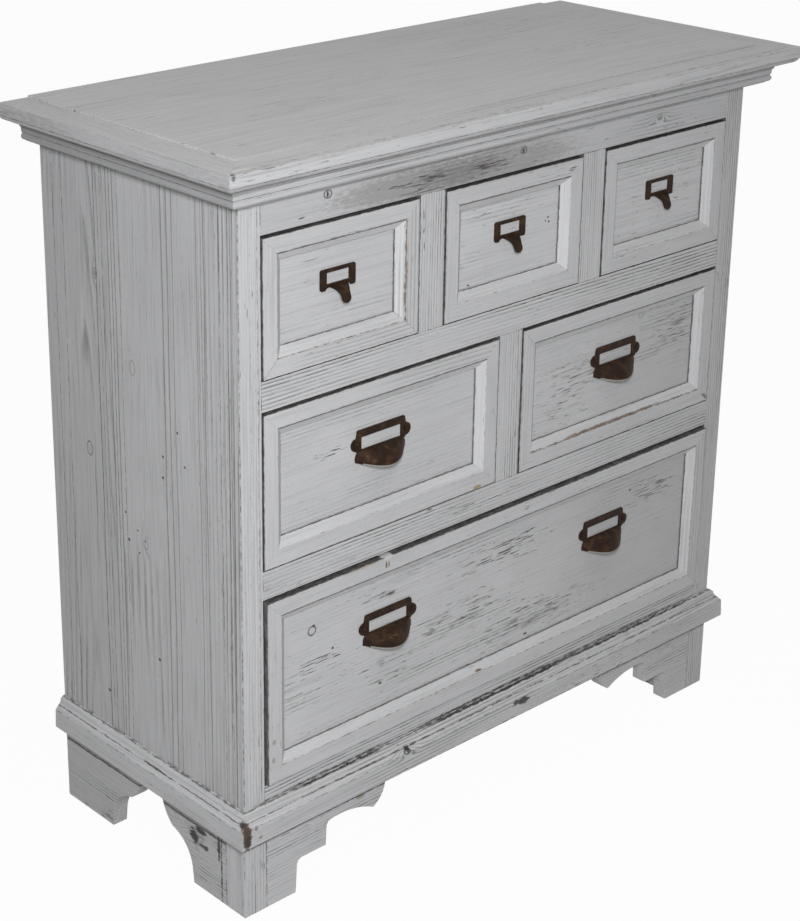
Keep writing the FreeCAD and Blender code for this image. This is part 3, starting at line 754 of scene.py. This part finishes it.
def boxOf(item):
    corners = [vertex.co for vertex in item.data.vertices]
    low = Vector(min(corner[side] for corner in corners) for side in range(3))
    high = Vector(max(corner[side] for corner in corners) for side in range(3))
    return low, high


def longest(low, high):
    size = high - low
    return "XYZ"[max(range(3), key=lambda side: size[side])]


nodeBody = {}
for bodyName, members in frame["record"]["behaviour"]["bodies"].items():
    for member in members:
        nodeBody[member] = bodyName


def settle(item, node):
    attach(item, nodeBody[node])
    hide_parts(node)


def dress(node, slot, softness=0.5, only=None, **look):     # only: changes for single boards, by name
    for board, name in boardsOf(node, softness).items():
        board.name = board.data.name = name
        low, high = boxOf(board)
        changes = {**look, **(only or {}).get(name, {})}
        wood = paintedPine("paint_" + name, longest(low, high), low, high, name, **changes)
        board.data.materials.append(wood)
        settle(board, node)


# Faces that the marks lie on

railFace = round(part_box("rail_top")[0].y, 6)
frontFace = round(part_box("drawer_1_frame")[0].y, 6)
panelFace = round(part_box("drawer_1_panel")[0].y, 6)
lowFrontFace = round(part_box("drawer_6_frame")[0].y, 6)
lowPanelFace = round(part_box("drawer_6_panel")[0].y, 6)
sideFace = round(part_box("side_left")[0].x, 6)

# Top: a quiet field, a ridge round it and a rubbed front edge

topLook = {"rings": 6 * mm, "grain": 0.30, "share": 0.45, "fibre": 0.28, "pores": 0.46, "heavy": 0.15,
           "ridge": 0.2, "edge": 0.10, "ends": 0.0, "relief": 0.3, "pith": (0.10, 0.09)}
borderLook = {**topLook, "edge": 0.3, "pores": 0.5}
# painted shade in the V-line of the slab's edge, and the painted shadow under its lip
slabShadeLines = (
    seam("Z", 0.8645, 0.6, 0.95, 0.7),
    seam("Z", 0.8583, 0.8, 1.3),
)
# the top planks' front faces get painted shade
dress("top_planks", "painted_top", 0.2, **topLook, stained="Y", stainKind="paintedShade")
dress("top_border_front", "painted_top", 0.5, **borderLook, lines=slabShadeLines + (
    seam("Y", -0.1885, 1.6, 0.42, 0.9, "wood"),
    seam("Y", -0.1905, 1.2, 0.35),
    seam("Y", -0.1572, 1.0, 0.35, kind="wood"),
), stains=(
    blot((-0.445, -0.194, 0.876), (0.004, 0.004, 0.005), "pore"),
    blot((-0.428, -0.186, 0.878), (0.014, 0.004, 0.004), "chip", 0.9),
))
for side in ("left", "right"):
    dress("top_border_" + side, "painted_top", 0.5, rings=4.2 * mm, grain=0.32, share=1.0, wander=5 * mm,
          fibre=0.26, pores=0.5, broken=0.6, edge=0.25, ends=0.3, lines=slabShadeLines, pith=(0.3, 0.02),
          heavy=0.2, ridge=0.5, relief=0.3)
print("top painted")

# Cornice: painted shadow under the slab's lip and painted shade lines in its quirks, and painted shade on
# its sides

trimLook = {"rings": 4.5 * mm, "fibre": 0.28, "edge": 0.0, "ends": 0.3, "ridge": 0.25, "relief": 0.3}
corniceLook = {**trimLook, "grain": 0.20, "share": 0.5, "pores": 0.40}
corniceShadeLines = (
    seam("Z", 0.8573, 1.2, 1.5, 0.92),
    seam("Z", 0.8500, 0.5, 0.9, 0.6),
    seam("Z", 0.8432, 0.5, 1.0, 0.7),
    seam("Z", 0.8347, 0.5, 0.95, 0.75),
)
# the sides get a lower tone: painted shade
for side, tone in (("front", 0.95), ("left", 0.70), ("right", 0.70)):
    dress("cornice_" + side, "painted_moulding", 0.3, **corniceLook, tone=tone, lines=corniceShadeLines)

# Sides: four planks with their own grain each


def uprights(*rows):                   # grain lines at (place along Y, width in mm, share, ridge)
    lines = []
    for at, width, share, crest in rows:
        dark, kind = (0.7, "thin") if share > 1.2 else (0.8, "pore")
        lines.append(seam("Y", at, 0.65 * width, share, dark, kind, crest=0.7 * crest, bend=7 * mm))
    return lines


sideLook = {"tone": 0.965, "edge": 0.06, "ends": 0.0, "relief": 0.6, "fibre": 0.34, "pores": 0.40}
sideKnots = {
    3: (eye((sideFace, 0.0315, 0.608), 5, 0.35, 0.05, long=1.7),
        eye((sideFace, 0.016, 0.402), 4, 0.7, 0.1)),
    4: (eye((sideFace, 0.1165, 0.487), 5.5, 0.6, 0.15, long=1.5),
        eye((sideFace, 0.095, 0.700), 4, 0.6, 0.5, long=1.5, swell=9 * mm)),
}
dotPlaces = (                          # along Y, along Z, size
    (-0.0198, 0.520, 1.0), (-0.0188, 0.495, 1.0), (-0.004, 0.267, 1.2), (0.0952, 0.186, 1.2),
    (-0.046, 0.556, 0.9), (-0.058, 0.520, 0.9), (0.052, 0.430, 0.9), (0.047, 0.398, 1.1),
    (0.030, 0.415, 0.8), (0.028, 0.388, 0.8),
)
sideDots = [blot((sideFace, y, z), (0.004, 0.0015 * size, 0.0016 * size), "pore", 0.95, 0.6)
            for y, z, size in dotPlaces]
for side in ("left", "right"):
    name = "side_" + side
    dress(name, "painted_side", 0.2, **sideLook, only={
        name + "_1": {"rings": 7 * mm, "grain": 0.62, "share": 1.1, "broken": 0.4, "heavy": 0.35,
                      "pith": (0.4, 0.01), "wander": 9 * mm, "edge": 0.2, "pores": 0.55, "lines": uprights(
                          (-0.0958, 0.9, 1.4, 0.7), (-0.1209, 0.9, 0.62, 0), (-0.1345, 0.7, 0.75, 0.4),
                          (-0.1385, 0.8, 1.3, 0.4))},
        name + "_2": {"rings": 12 * mm, "grain": 0.25, "heavy": 0.2, "ridge": 0.25,
                      "pith": (0.25, 0.02), "wander": 12 * mm, "stains": sideDots, "lines": uprights(
                          (-0.0350, 0.9, 1.5, 0.6), (-0.0440, 0.7, 1.25, 0.4), (-0.0840, 0.8, 1.25, 0.8))},
        name + "_3": {"rings": 12 * mm, "grain": 0.35, "heavy": 0.3, "ridge": 0.3,
                      "pith": (0.11, 0.03), "wander": 14 * mm, "tilt": 0.012,
                      "knots": sideKnots[3], "stains": sideDots, "lines": uprights(
                          (-0.0250, 1.0, 1.4, 0.4), (0.0585, 1.0, 1.35, 0.4), (0.0640, 0.8, 0.9, 0.3),
                          (0.0500, 0.8, 0.7, 0))},
        name + "_4": {"rings": 10 * mm, "grain": 0.34, "share": 0.6, "tone": 0.90, "heavy": 0.35,
                      "ridge": 0.35, "pith": (-0.01, 0.025), "wander": 12 * mm, "tilt": 0.055,
                      "knots": sideKnots[4], "stains": sideDots, "lines": uprights(
                          (0.0697, 0.9, 1.25, 0.4), (0.0810, 0.8, 0.75, 0.4), (0.0930, 0.8, 1.2, 0.5),
                          (0.0870, 0.8, 0.6, 0), (0.1530, 0.8, 0.7, 0.2), (0.1700, 0.8, 0.7, 0.2)),
                      "cracks": (crack((sideFace, 0.1074, 0.413), 0.16, 1.0, face="X"),
                                 crack((sideFace, 0.078, 0.640), 0.10, 1.0, face="X"))},
    })
print("cornice and sides painted")

# Face frame: brushed grain, dotted dark joints, black marks over the base

frameLook = {"share": 0.95, "broken": 0.5, "heavy": 0.3, "fibre": 0.28, "pores": 0.48, "wander": 7 * mm,
             "edge": 0.38, "ends": 0.55, "relief": 0.6}
railLook = {**frameLook, "stained": "Z", "rings": 4.4 * mm, "grain": 0.62, "ridge": 0.6}
postLook = {**frameLook, "stained": "X", "rings": 4.0 * mm, "grain": 0.38, "ridge": 0.45}
topRailLook = {**railLook, "grain": 0.4, "share": 0.5, "edge": 0.2, "tone": 0.92}
dress("stile_left", "painted_frame", 0.4, **postLook, tone=1.02, lines=(
    seam("X", -0.3775, 0.6, 0.55, 0.9),
    seam("X", -0.4022, 0.8, 0.55, 0.8),
    seam("X", -0.3870, 0.5, 0.45, 0.6, bend=3 * mm),
))
dress("stile_right", "painted_frame", 0.5, **postLook, tone=0.95)
dress("rail_top", "painted_frame", 0.3, **topRailLook, knots=(
    eye((-0.2822, railFace, 0.8193), 4.2, 0.95, 0.12, band=0.22),
    eye((0.0099, railFace, 0.8149), 3.6, 0.9, 0.3, band=0.22),
    eye((0.2446, railFace, 0.8144), 3.4, 0.55, 0.2, band=0.22),
), cracks=(
    crack((-0.3181, railFace, 0.7999), 0.011, 1.8, 0.95),
    crack((-0.136, railFace, 0.7955), 0.060, 1.1, 0.9),
    crack((-0.165, railFace, 0.7985), 0.045, 1.0, 0.8),
), patches=(
    bare((-0.150, railFace, 0.808), (0.075, 0.02, 0.011), 0.17),
    bare((-0.040, railFace, 0.806), (0.060, 0.02, 0.012), 0.16),
), stains=(
    blot((-0.150, railFace, 0.808), (0.085, 0.02, 0.012), dark=0.42, ragged=2.2, soft=1.9),
    blot((-0.030, railFace, 0.806), (0.080, 0.02, 0.014), dark=0.38, ragged=2.2, soft=1.9),
    blot((-0.2826, railFace, 0.8193), (0.0012, 0.01, 0.0030), "pore", 0.9, 1.4),
    blot((0.0094, railFace, 0.8147), (0.0012, 0.01, 0.0026), "pore", 0.9, 1.4),
))
dress("rail_upper", "painted_frame", 0.3, **railLook)
dress("rail_lower", "painted_frame", 0.3, **railLook, cracks=(
    crack((-0.1259, railFace, 0.4175), 0.010, 2.0, 0.9),
), patches=(
    bare((-0.06, railFace, 0.402), (0.12, 0.02, 0.012), 0.10),
))
dress("rail_bottom", "painted_frame", 0.3, **railLook, lines=(
    seam("Z", 0.1400, 0.9, 0.75),
    seam("Z", 0.1412, 1.4, 0.62, 0.95, span=(-0.34, -0.19)),
    seam("Z", 0.1412, 1.5, 0.70, 0.95, span=(-0.13, 0.10)),
    seam("Z", 0.1415, 1.2, 0.62, 0.95, span=(0.10, 0.34)),
))
dress("mullions_upper", "painted_frame", 0.3, **postLook, only={
    "mullions_upper_1": {"pores": 0.62, "edge": 0.55, "cracks": (
        crack((-0.1440, railFace, 0.770), 0.014, 1.5, 0.95),
        crack((-0.1435, railFace, 0.752), 0.008, 1.5, 0.9),
        crack((-0.1425, railFace, 0.735), 0.012, 1.2, 0.9))},
})
dress("mullion_middle", "painted_frame", 0.3, **postLook)
print("face frame painted")

# Base moulding: charred and rubbed lines, a chipped near corner

chips = (
    blot((-0.4105, -0.1660, 0.1205), (0.0056, 0.0100, 0.0185), "wood", 0.97, 1.2),
    blot((-0.4105, -0.1660, 0.1200), (0.0050, 0.0100, 0.0170), "pore", 0.55, 2.6),
    blot((-0.4125, -0.1660, 0.1320), (0.0030, 0.0100, 0.0060), "pore", 0.80, 1.2),
    blot((-0.4090, -0.1660, 0.1110), (0.0034, 0.0100, 0.0070), "pore", 0.75, 1.2),
    blot((-0.4190, -0.1600, 0.1370), (0.0060, 0.0070, 0.0050), "chip", 0.80, 1.2),
)
baseLines = (
    seam("Z", 0.1294, 0.9, 0.62, 0.8),
    seam("Z", 0.1240, 0.9, 0.40, 0.7),
    seam("Z", 0.1390, 1.0, 0.6, 0.75),
)
baseLook = {**trimLook, "grain": 0.25, "share": 0.8, "pores": 0.56, "tone": 0.95}
dress("base_moulding_front", "painted_moulding", 0.5, **baseLook, lines=baseLines + (
    seam("Z", 0.1386, 1.2, 0.66, 0.95, span=(-0.33, -0.20)),
    seam("Z", 0.1384, 1.4, 0.72, 0.95, span=(-0.13, 0.12)),
    seam("Z", 0.1384, 1.1, 0.64, 0.95, span=(0.12, 0.36)),
    seam("Z", 0.1300, 1.0, 0.42, kind="wood", span=(-0.36, 0.1)),
    seam("Z", 0.1020, 1.2, 0.45, kind="wood", span=(-0.2, 0.2)),
), knots=(
    eye((-0.1669, -0.1655, 0.1271), 4.5, 0.95, 0.6, band=0.3),
), stains=chips + (
    blot((0.0296, -0.1655, 0.1190), (0.009, 0.02, 0.0045), "pore", 0.95, 1.6),
    blot((0.0160, -0.1655, 0.1205), (0.004, 0.02, 0.003), "pore", 0.9, 1.6),
    blot((-0.3975, -0.1655, 0.1223), (0.0022, 0.01, 0.0026), dark=0.6, ragged=0.5),
    blot((-0.3919, -0.1655, 0.1090), (0.0022, 0.01, 0.0018), dark=0.6, ragged=0.5),
    blot((-0.1662, -0.1655, 0.1280), (0.0034, 0.01, 0.0040), "pore", 0.95, 2.4),
    blot((-0.1450, -0.1655, 0.1385), (0.0022, 0.01, 0.0016), "pore", 0.9, 1.0),
    blot((-0.1760, -0.1655, 0.1350), (0.0018, 0.01, 0.0014), "pore", 0.9, 1.0),
))
for side in ("left", "right"):
    dress("base_moulding_" + side, "painted_moulding", 0.5, **corniceLook, lines=baseLines, stains=chips,
          cracks=(crack((-0.413, -0.001, 0.1300), 0.05, 2.0, 0.85, face="X"),))

# Feet

footLook = {"rings": 4.5 * mm, "grain": 0.20, "share": 0.7, "broken": 0.6, "ridge": 0.15, "fibre": 0.30,
            "pores": 0.62, "edge": 0.1, "ends": 0.7, "relief": 0.45, "wander": 9 * mm}
footPostLook = {**footLook, "rings": 4 * mm, "share": 1.0, "edge": 0.35, "grain": 0.35, "ridge": 0.35}
shadowLine = (seam("Z", 0.0880, 1.3, 1.05),)
sideShadow = (seam("Z", 0.0805, 1.3, 1.05),)
dress("foot_posts", "painted_moulding", 0.5, **footPostLook, lines=shadowLine)
dress("bracket_front_left", "painted_moulding", 0.5, **footLook, lines=shadowLine, stains=(
    blot((-0.230, railFace, 0.087), (0.006, 0.01, 0.0045), "wood", 0.6, 2.2),
))
dress("bracket_front_right", "painted_moulding", 0.5, **footLook, lines=shadowLine)
sideTone = 0.92
dress("bracket_left_front", "painted_moulding", 0.5, **footLook, tone=sideTone, knots=(
    eye((sideFace, -0.064, 0.067), 8, 0.3, 0.35, long=1.5, band=0.4),
), stains=(
    blot((sideFace, -0.0600, 0.0645), (0.01, 0.0060, 0.0085), "pore", 1.0, 3.0),
    blot((sideFace, -0.0725, 0.0752), (0.01, 0.0090, 0.0032), "pore", 1.0, 3.4),
    blot((sideFace, -0.0780, 0.0570), (0.01, 0.0070, 0.0026), "pore", 0.95, 3.4),
    blot((sideFace, -0.1050, 0.0700), (0.01, 0.0022, 0.0150), "pore", 0.95, 3.4),
), lines=sideShadow + (
    seam("Y", -0.1095, 1.5, 0.66, 0.95),
))
for bracket in ("left_back", "right_front", "right_back"):
    dress("bracket_" + bracket, "painted_moulding", 0.5, **footLook, tone=sideTone, lines=sideShadow)
print("base and feet painted")

# Drawer fronts: plain flats, brown specks along the bevels, dashes on the panels


def frontRules(rub, rubWidth=0.9):     # rubbed arris, joint with the panel, outer edge
    rubbed = ruled(19.5, rubWidth, rub, 0.85, "wood")
    return rubbed, ruled(29.3, 0.5, 0.55, 0.65), ruled(0.2, 0.8, 0.5, 0.75)


frontLook = {"edge": 0.0, "ends": 0.0, "relief": 0.3}
drawerLook = {**frontLook, "rings": 5 * mm, "grain": 0.12, "fibre": 0.22, "pores": 0.36, "heavy": 0.2,
              "ridge": 0.1, "stained": "XZ", "paintedLightDown": 0.9}
panelLook = {**frontLook, "rings": 4.8 * mm, "grain": 0.13, "share": 0.6, "fibre": 0.24, "pores": 0.40,
             "heavy": 0.35, "broken": 0.6, "ridge": 0.05, "wander": 8 * mm}
panelRule = (ruled(30.1, 0.5, 0.55, 0.6),)
topRules = (ruled(19.3, 0.8, 1.1, 0.75), ruled(29.4, 0.5, 0.8, 0.6), ruled(0.2, 0.8, 0.6, 0.75))
frontMarks = {f"drawer_{number}_frame_top": {"rules": topRules} for number in range(1, 6)}
frontMarks |= {
    "drawer_1_frame_right": {"rules": frontRules(0.66, 2.0), "mitre": 0.25, "stains": (
        blot((-0.2255, frontFace, 0.715), (0.0035, 0.02, 0.045), "dirt", 0.3, 2.4, soft=2.0),)},
    "drawer_1_frame_bottom": {"rules": frontRules(0.55), "mitre": 0.6},
    "drawer_4_frame_bottom": {"stains": (
        blot((-0.0501, frontFace, 0.4239), (0.006, 0.02, 0.0022), "filler", 0.9, 1.0),)},
    "drawer_5_frame_bottom": {"rules": frontRules(0.66, 1.4), "lines": (
        seam("Z", 0.4422, 1.6, 0.85, kind="wood", span=(0.10, 0.28)),)},
    "drawer_5_frame_right": {"stains": (
        blot((0.3644, frontFace, 0.4257), (0.005, 0.02, 0.006), "wood", 0.8, 1.4),)},
    "drawer_6_frame_top": {"rules": topRules, "stains": (
        blot((-0.1945, lowFrontFace, 0.3835), (0.007, 0.02, 0.0032), "chip", 0.9, 1.5),
        blot((-0.1970, lowFrontFace, 0.3735), (0.0012, 0.02, 0.0040), "wood", 0.9, 0.8),
        blot((-0.1930, lowFrontFace, 0.3735), (0.0010, 0.02, 0.0036), "wood", 0.8, 0.8),
        blot((-0.234, lowFrontFace, 0.3818), (0.026, 0.02, 0.0008), "filler", 0.7, 1.2))},
    "drawer_6_frame_left": {"stains": (
        blot((-0.363, lowFrontFace, 0.212), (0.0022, 0.02, 0.003), dark=0.45, ragged=1.2),
        blot((-0.364, lowFrontFace, 0.190), (0.0022, 0.02, 0.003), dark=0.45, ragged=1.2),)},
    "drawer_6_frame_bottom": {"rules": frontRules(0.45), "cracks": (
        crack((-0.0386, lowFrontFace, 0.1815), 0.010, 1.8, 0.9),), "stains": (
        blot((-0.0415, lowFrontFace, 0.1818), (0.0040, 0.02, 0.0011), "wood", 0.8, 1.2),)},
}
panelMarks = {
    1: {"cracks": (crack((-0.2990, panelFace, 0.7495), 0.028, 1.0, 0.75),)},
    2: {"tone": 1.05,
        "stains": dots(panelFace, (0.0643, 0.7246, 1.4, 1.1), (0.0660, 0.7190, 1.4, 1.1),
                       (0.0600, 0.7210, 1.0, 0.9), (-0.0640, 0.6705, 1.9, 0.9))},
    3: {"tone": 1.05, "pores": 0.55,
        "patches": (bare((0.265, panelFace, 0.710), (0.10, 0.02, 0.035), 0.07),)},
    4: {"grain": 0.10, "patches": (bare((-0.270, panelFace, 0.527), (0.05, 0.02, 0.010), 0.16),)},
    5: {"pores": 0.58, "grain": 0.14, "heavy": 0.5,
        # painted shade where the light falls off on the right
        "stains": (blot((0.360, panelFace, 0.500), (0.10, 0.05, 0.12), "paintedShade", 0.3, 0.3, soft=2.4),),
        "knots": (eye((0.242, panelFace, 0.5644), 3.6, 0.5, 0.05, band=0.2),),
        "patches": (bare((0.105, panelFace, 0.500), (0.08, 0.02, 0.07), 0.10),
                    bare((0.310, panelFace, 0.520), (0.06, 0.02, 0.05), 0.08))},
    6: {"pores": 0.55, "heavy": 0.6, "grain": 0.13,
        "knots": (eye((-0.2992, lowPanelFace, 0.3228), 5.4, 0.95, 0.05, band=0.26, long=1.0),),
        "patches": (bare((0.010, lowPanelFace, 0.322), (0.13, 0.02, 0.030), 0.17),
                    bare((-0.190, lowPanelFace, 0.331), (0.045, 0.02, 0.008), 0.18),
                    bare((-0.290, lowPanelFace, 0.280), (0.07, 0.02, 0.022), 0.15),
                    bare((-0.060, lowPanelFace, 0.262), (0.14, 0.02, 0.030), 0.12),
                    bare((0.270, lowPanelFace, 0.325), (0.08, 0.02, 0.035), 0.15),
                    bare((0.060, lowPanelFace, 0.225), (0.12, 0.02, 0.030), 0.12)),
        # painted shade where the light falls off on the right
        "stains": [blot((0.360, lowPanelFace, 0.280), (0.15, 0.05, 0.15), "paintedShade", 0.32, 0.3, soft=2.4)]
                  + dots(lowPanelFace, (-0.2970, 0.3285, 1.9, 1.4), (-0.2686, 0.2907, 1.7, 1.5),
                         (-0.1950, 0.2190, 2.2, 1.5), (0.0490, 0.1960, 3.1, 1.4),
                         (0.2355, 0.3329, 1.9, 1.2))},
}
for number in range(1, 7):
    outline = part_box(f"drawer_{number}_frame")
    dress(f"drawer_{number}_frame", "painted_drawer", 0.3, **drawerLook, frameBox=outline,
          rules=frontRules(0.28), mitre=0.30, only=frontMarks)
    dress(f"drawer_{number}_panel", "painted_drawer", 0.3, frameBox=outline, rules=panelRule,
          **{**panelLook, **panelMarks[number]})
print("drawer fronts painted")

# Pulls: the plates keep their CAD outline, the cups get a smooth round hood

hood = {
    "half": 38 * mm,
    "reach": 20.4 * mm,
    "bow": 1.2,                        # above 1 the outline from above comes to a soft point
    "shoulder": 9.5 * mm,
    "top": 6.5 * mm,
    "backRim": -7.6 * mm,
    "frontRim": -14.9 * mm,
    "wall": 1.5 * mm,
    "hem": 1.4 * mm,                   # height of the rim band with the painted highlight
    "plate": 2.05 * mm,                # what stands out farther than this is the CAD dome
    "level": 30 * mm,                  # under the plate's top
    "spread": 0.185,                   # the low drawer's pulls from its middle
    "across": 40,
    "round": 16,
}


def hoodOut(s):                        # outline from above, s 0 in the middle to 1 at the ends
    return hood["reach"] * (1 - s ** 2) ** hood["bow"]


def hemLevel(out):
    return hood["backRim"] + (hood["frontRim"] - hood["backRim"]) * out / hood["reach"]


def hoodPoint(side, turn):             # side -1 to 1 across, turn 0 at the top to 1 at the rim
    s = math.sin(abs(side) * math.pi / 2)
    out = hoodOut(s)
    past = max(hood["half"] * s - hood["half"] + hood["shoulder"], 0)
    top = hood["top"] - hood["shoulder"] + math.sqrt(max(hood["shoulder"] ** 2 - past ** 2, 0))
    rim = hemLevel(out)
    bend = turn * math.pi / 2
    x = math.copysign(hood["half"] * s, side)
    return Vector((x, -out * math.sin(bend), rim + (top - rim) * math.cos(bend)))


def makeHood(place, body, rim):
    bpy.ops.object.select_all(action="DESELECT")
    bpy.ops.mesh.primitive_grid_add(x_subdivisions=hood["across"], y_subdivisions=hood["round"], size=2)
    item = bpy.context.active_object
    for vertex in item.data.vertices:
        vertex.co = Vector(place) + hoodPoint(vertex.co.x, (1 - vertex.co.y) / 2)
    mode("EDIT")
    bpy.ops.mesh.select_all(action="SELECT")
    bpy.ops.mesh.remove_doubles(threshold=0.02 * mm)
    bpy.ops.mesh.normals_make_consistent(inside=False)
    mode("OBJECT")
    wall = item.modifiers.new("wall", "SOLIDIFY")
    wall.thickness = hood["wall"]
    wall.offset = -1
    wall.use_even_offset = True
    bpy.ops.object.modifier_apply(modifier="wall")
    item.data.materials.append(body)
    item.data.materials.append(rim)
    # rim faces take the material with the painted highlight
    for face in item.data.polygons:
        point = face.center - Vector(place)
        s = min(abs(point.x) / hood["half"], 1)
        low = point.z < hemLevel(hoodOut(s)) + hood["hem"]
        face.material_index = int(low and point.y < -hood["reach"] / 4)
    return item


def makeCup(node, places):
    low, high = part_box(node)
    plate = copyOf(node)
    joinFaces(plate)
    bpy.ops.mesh.select_all(action="DESELECT")
    mode("OBJECT")
    front = high.y - hood["plate"]
    for face in plate.data.polygons:
        face.select = min(plate.data.vertices[index].co.y for index in face.vertices) < front
    mode("EDIT")
    bpy.ops.mesh.delete(type="FACE")
    mode("OBJECT")
    # the rim material is a painted highlight
    body, rim = agedIron("iron_" + node, node), agedIron("rim_" + node, node, "pale", 1.5)
    plate.data.materials.append(body)
    hoods = [makeHood(place, body, rim) for place in places]
    bpy.ops.object.select_all(action="DESELECT")
    for item in hoods:
        item.select_set(True)
    plate.select_set(True)
    bpy.context.view_layer.objects.active = plate
    bpy.ops.object.join()
    plate.name = node + "_worn"
    plate.data.name = plate.name
    soften(plate, 0.35)
    settle(plate, node)


def makePlain(node, softness):
    for item, name in boardsOf(node, softness).items():
        item.name = item.data.name = name
        item.data.materials.append(agedIron("iron_" + item.name, item.name))
        settle(item, node)


for number in (1, 2, 3):
    makePlain(f"drawer_{number}_pull", 0.3)
for number, ways in ((4, (0,)), (5, (0,)), (6, (-1, 1))):
    node = "drawer_6_pulls" if number == 6 else f"drawer_{number}_pull"
    low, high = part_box(node)
    middle, level = (low.x + high.x) / 2, high.z - hood["level"]
    makeCup(node, [(middle + hood["spread"] * way, high.y, level) for way in ways])
    makePlain(f"drawer_{number}_screws", 0.3)
print("pulls ready")

# Inner pieces keep their CAD meshes

for nodeName, item in frame["nodes"].items():
    if item.hide_render:
        continue
    item.data.materials.clear()
    low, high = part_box(nodeName)
    axis = longest(low, high)
    if nodeName == "glue_blocks":      # painted over with the feet
        wood = paintedPine("paint_" + nodeName, "Z", low, high, nodeName, **footLook, tone=0.8)
    else:
        wood = barePine("pine_" + nodeName, axis, toGrain((low + high) / 2, axis), nodeName)
    item.data.materials.append(wood)
print("pine ready")
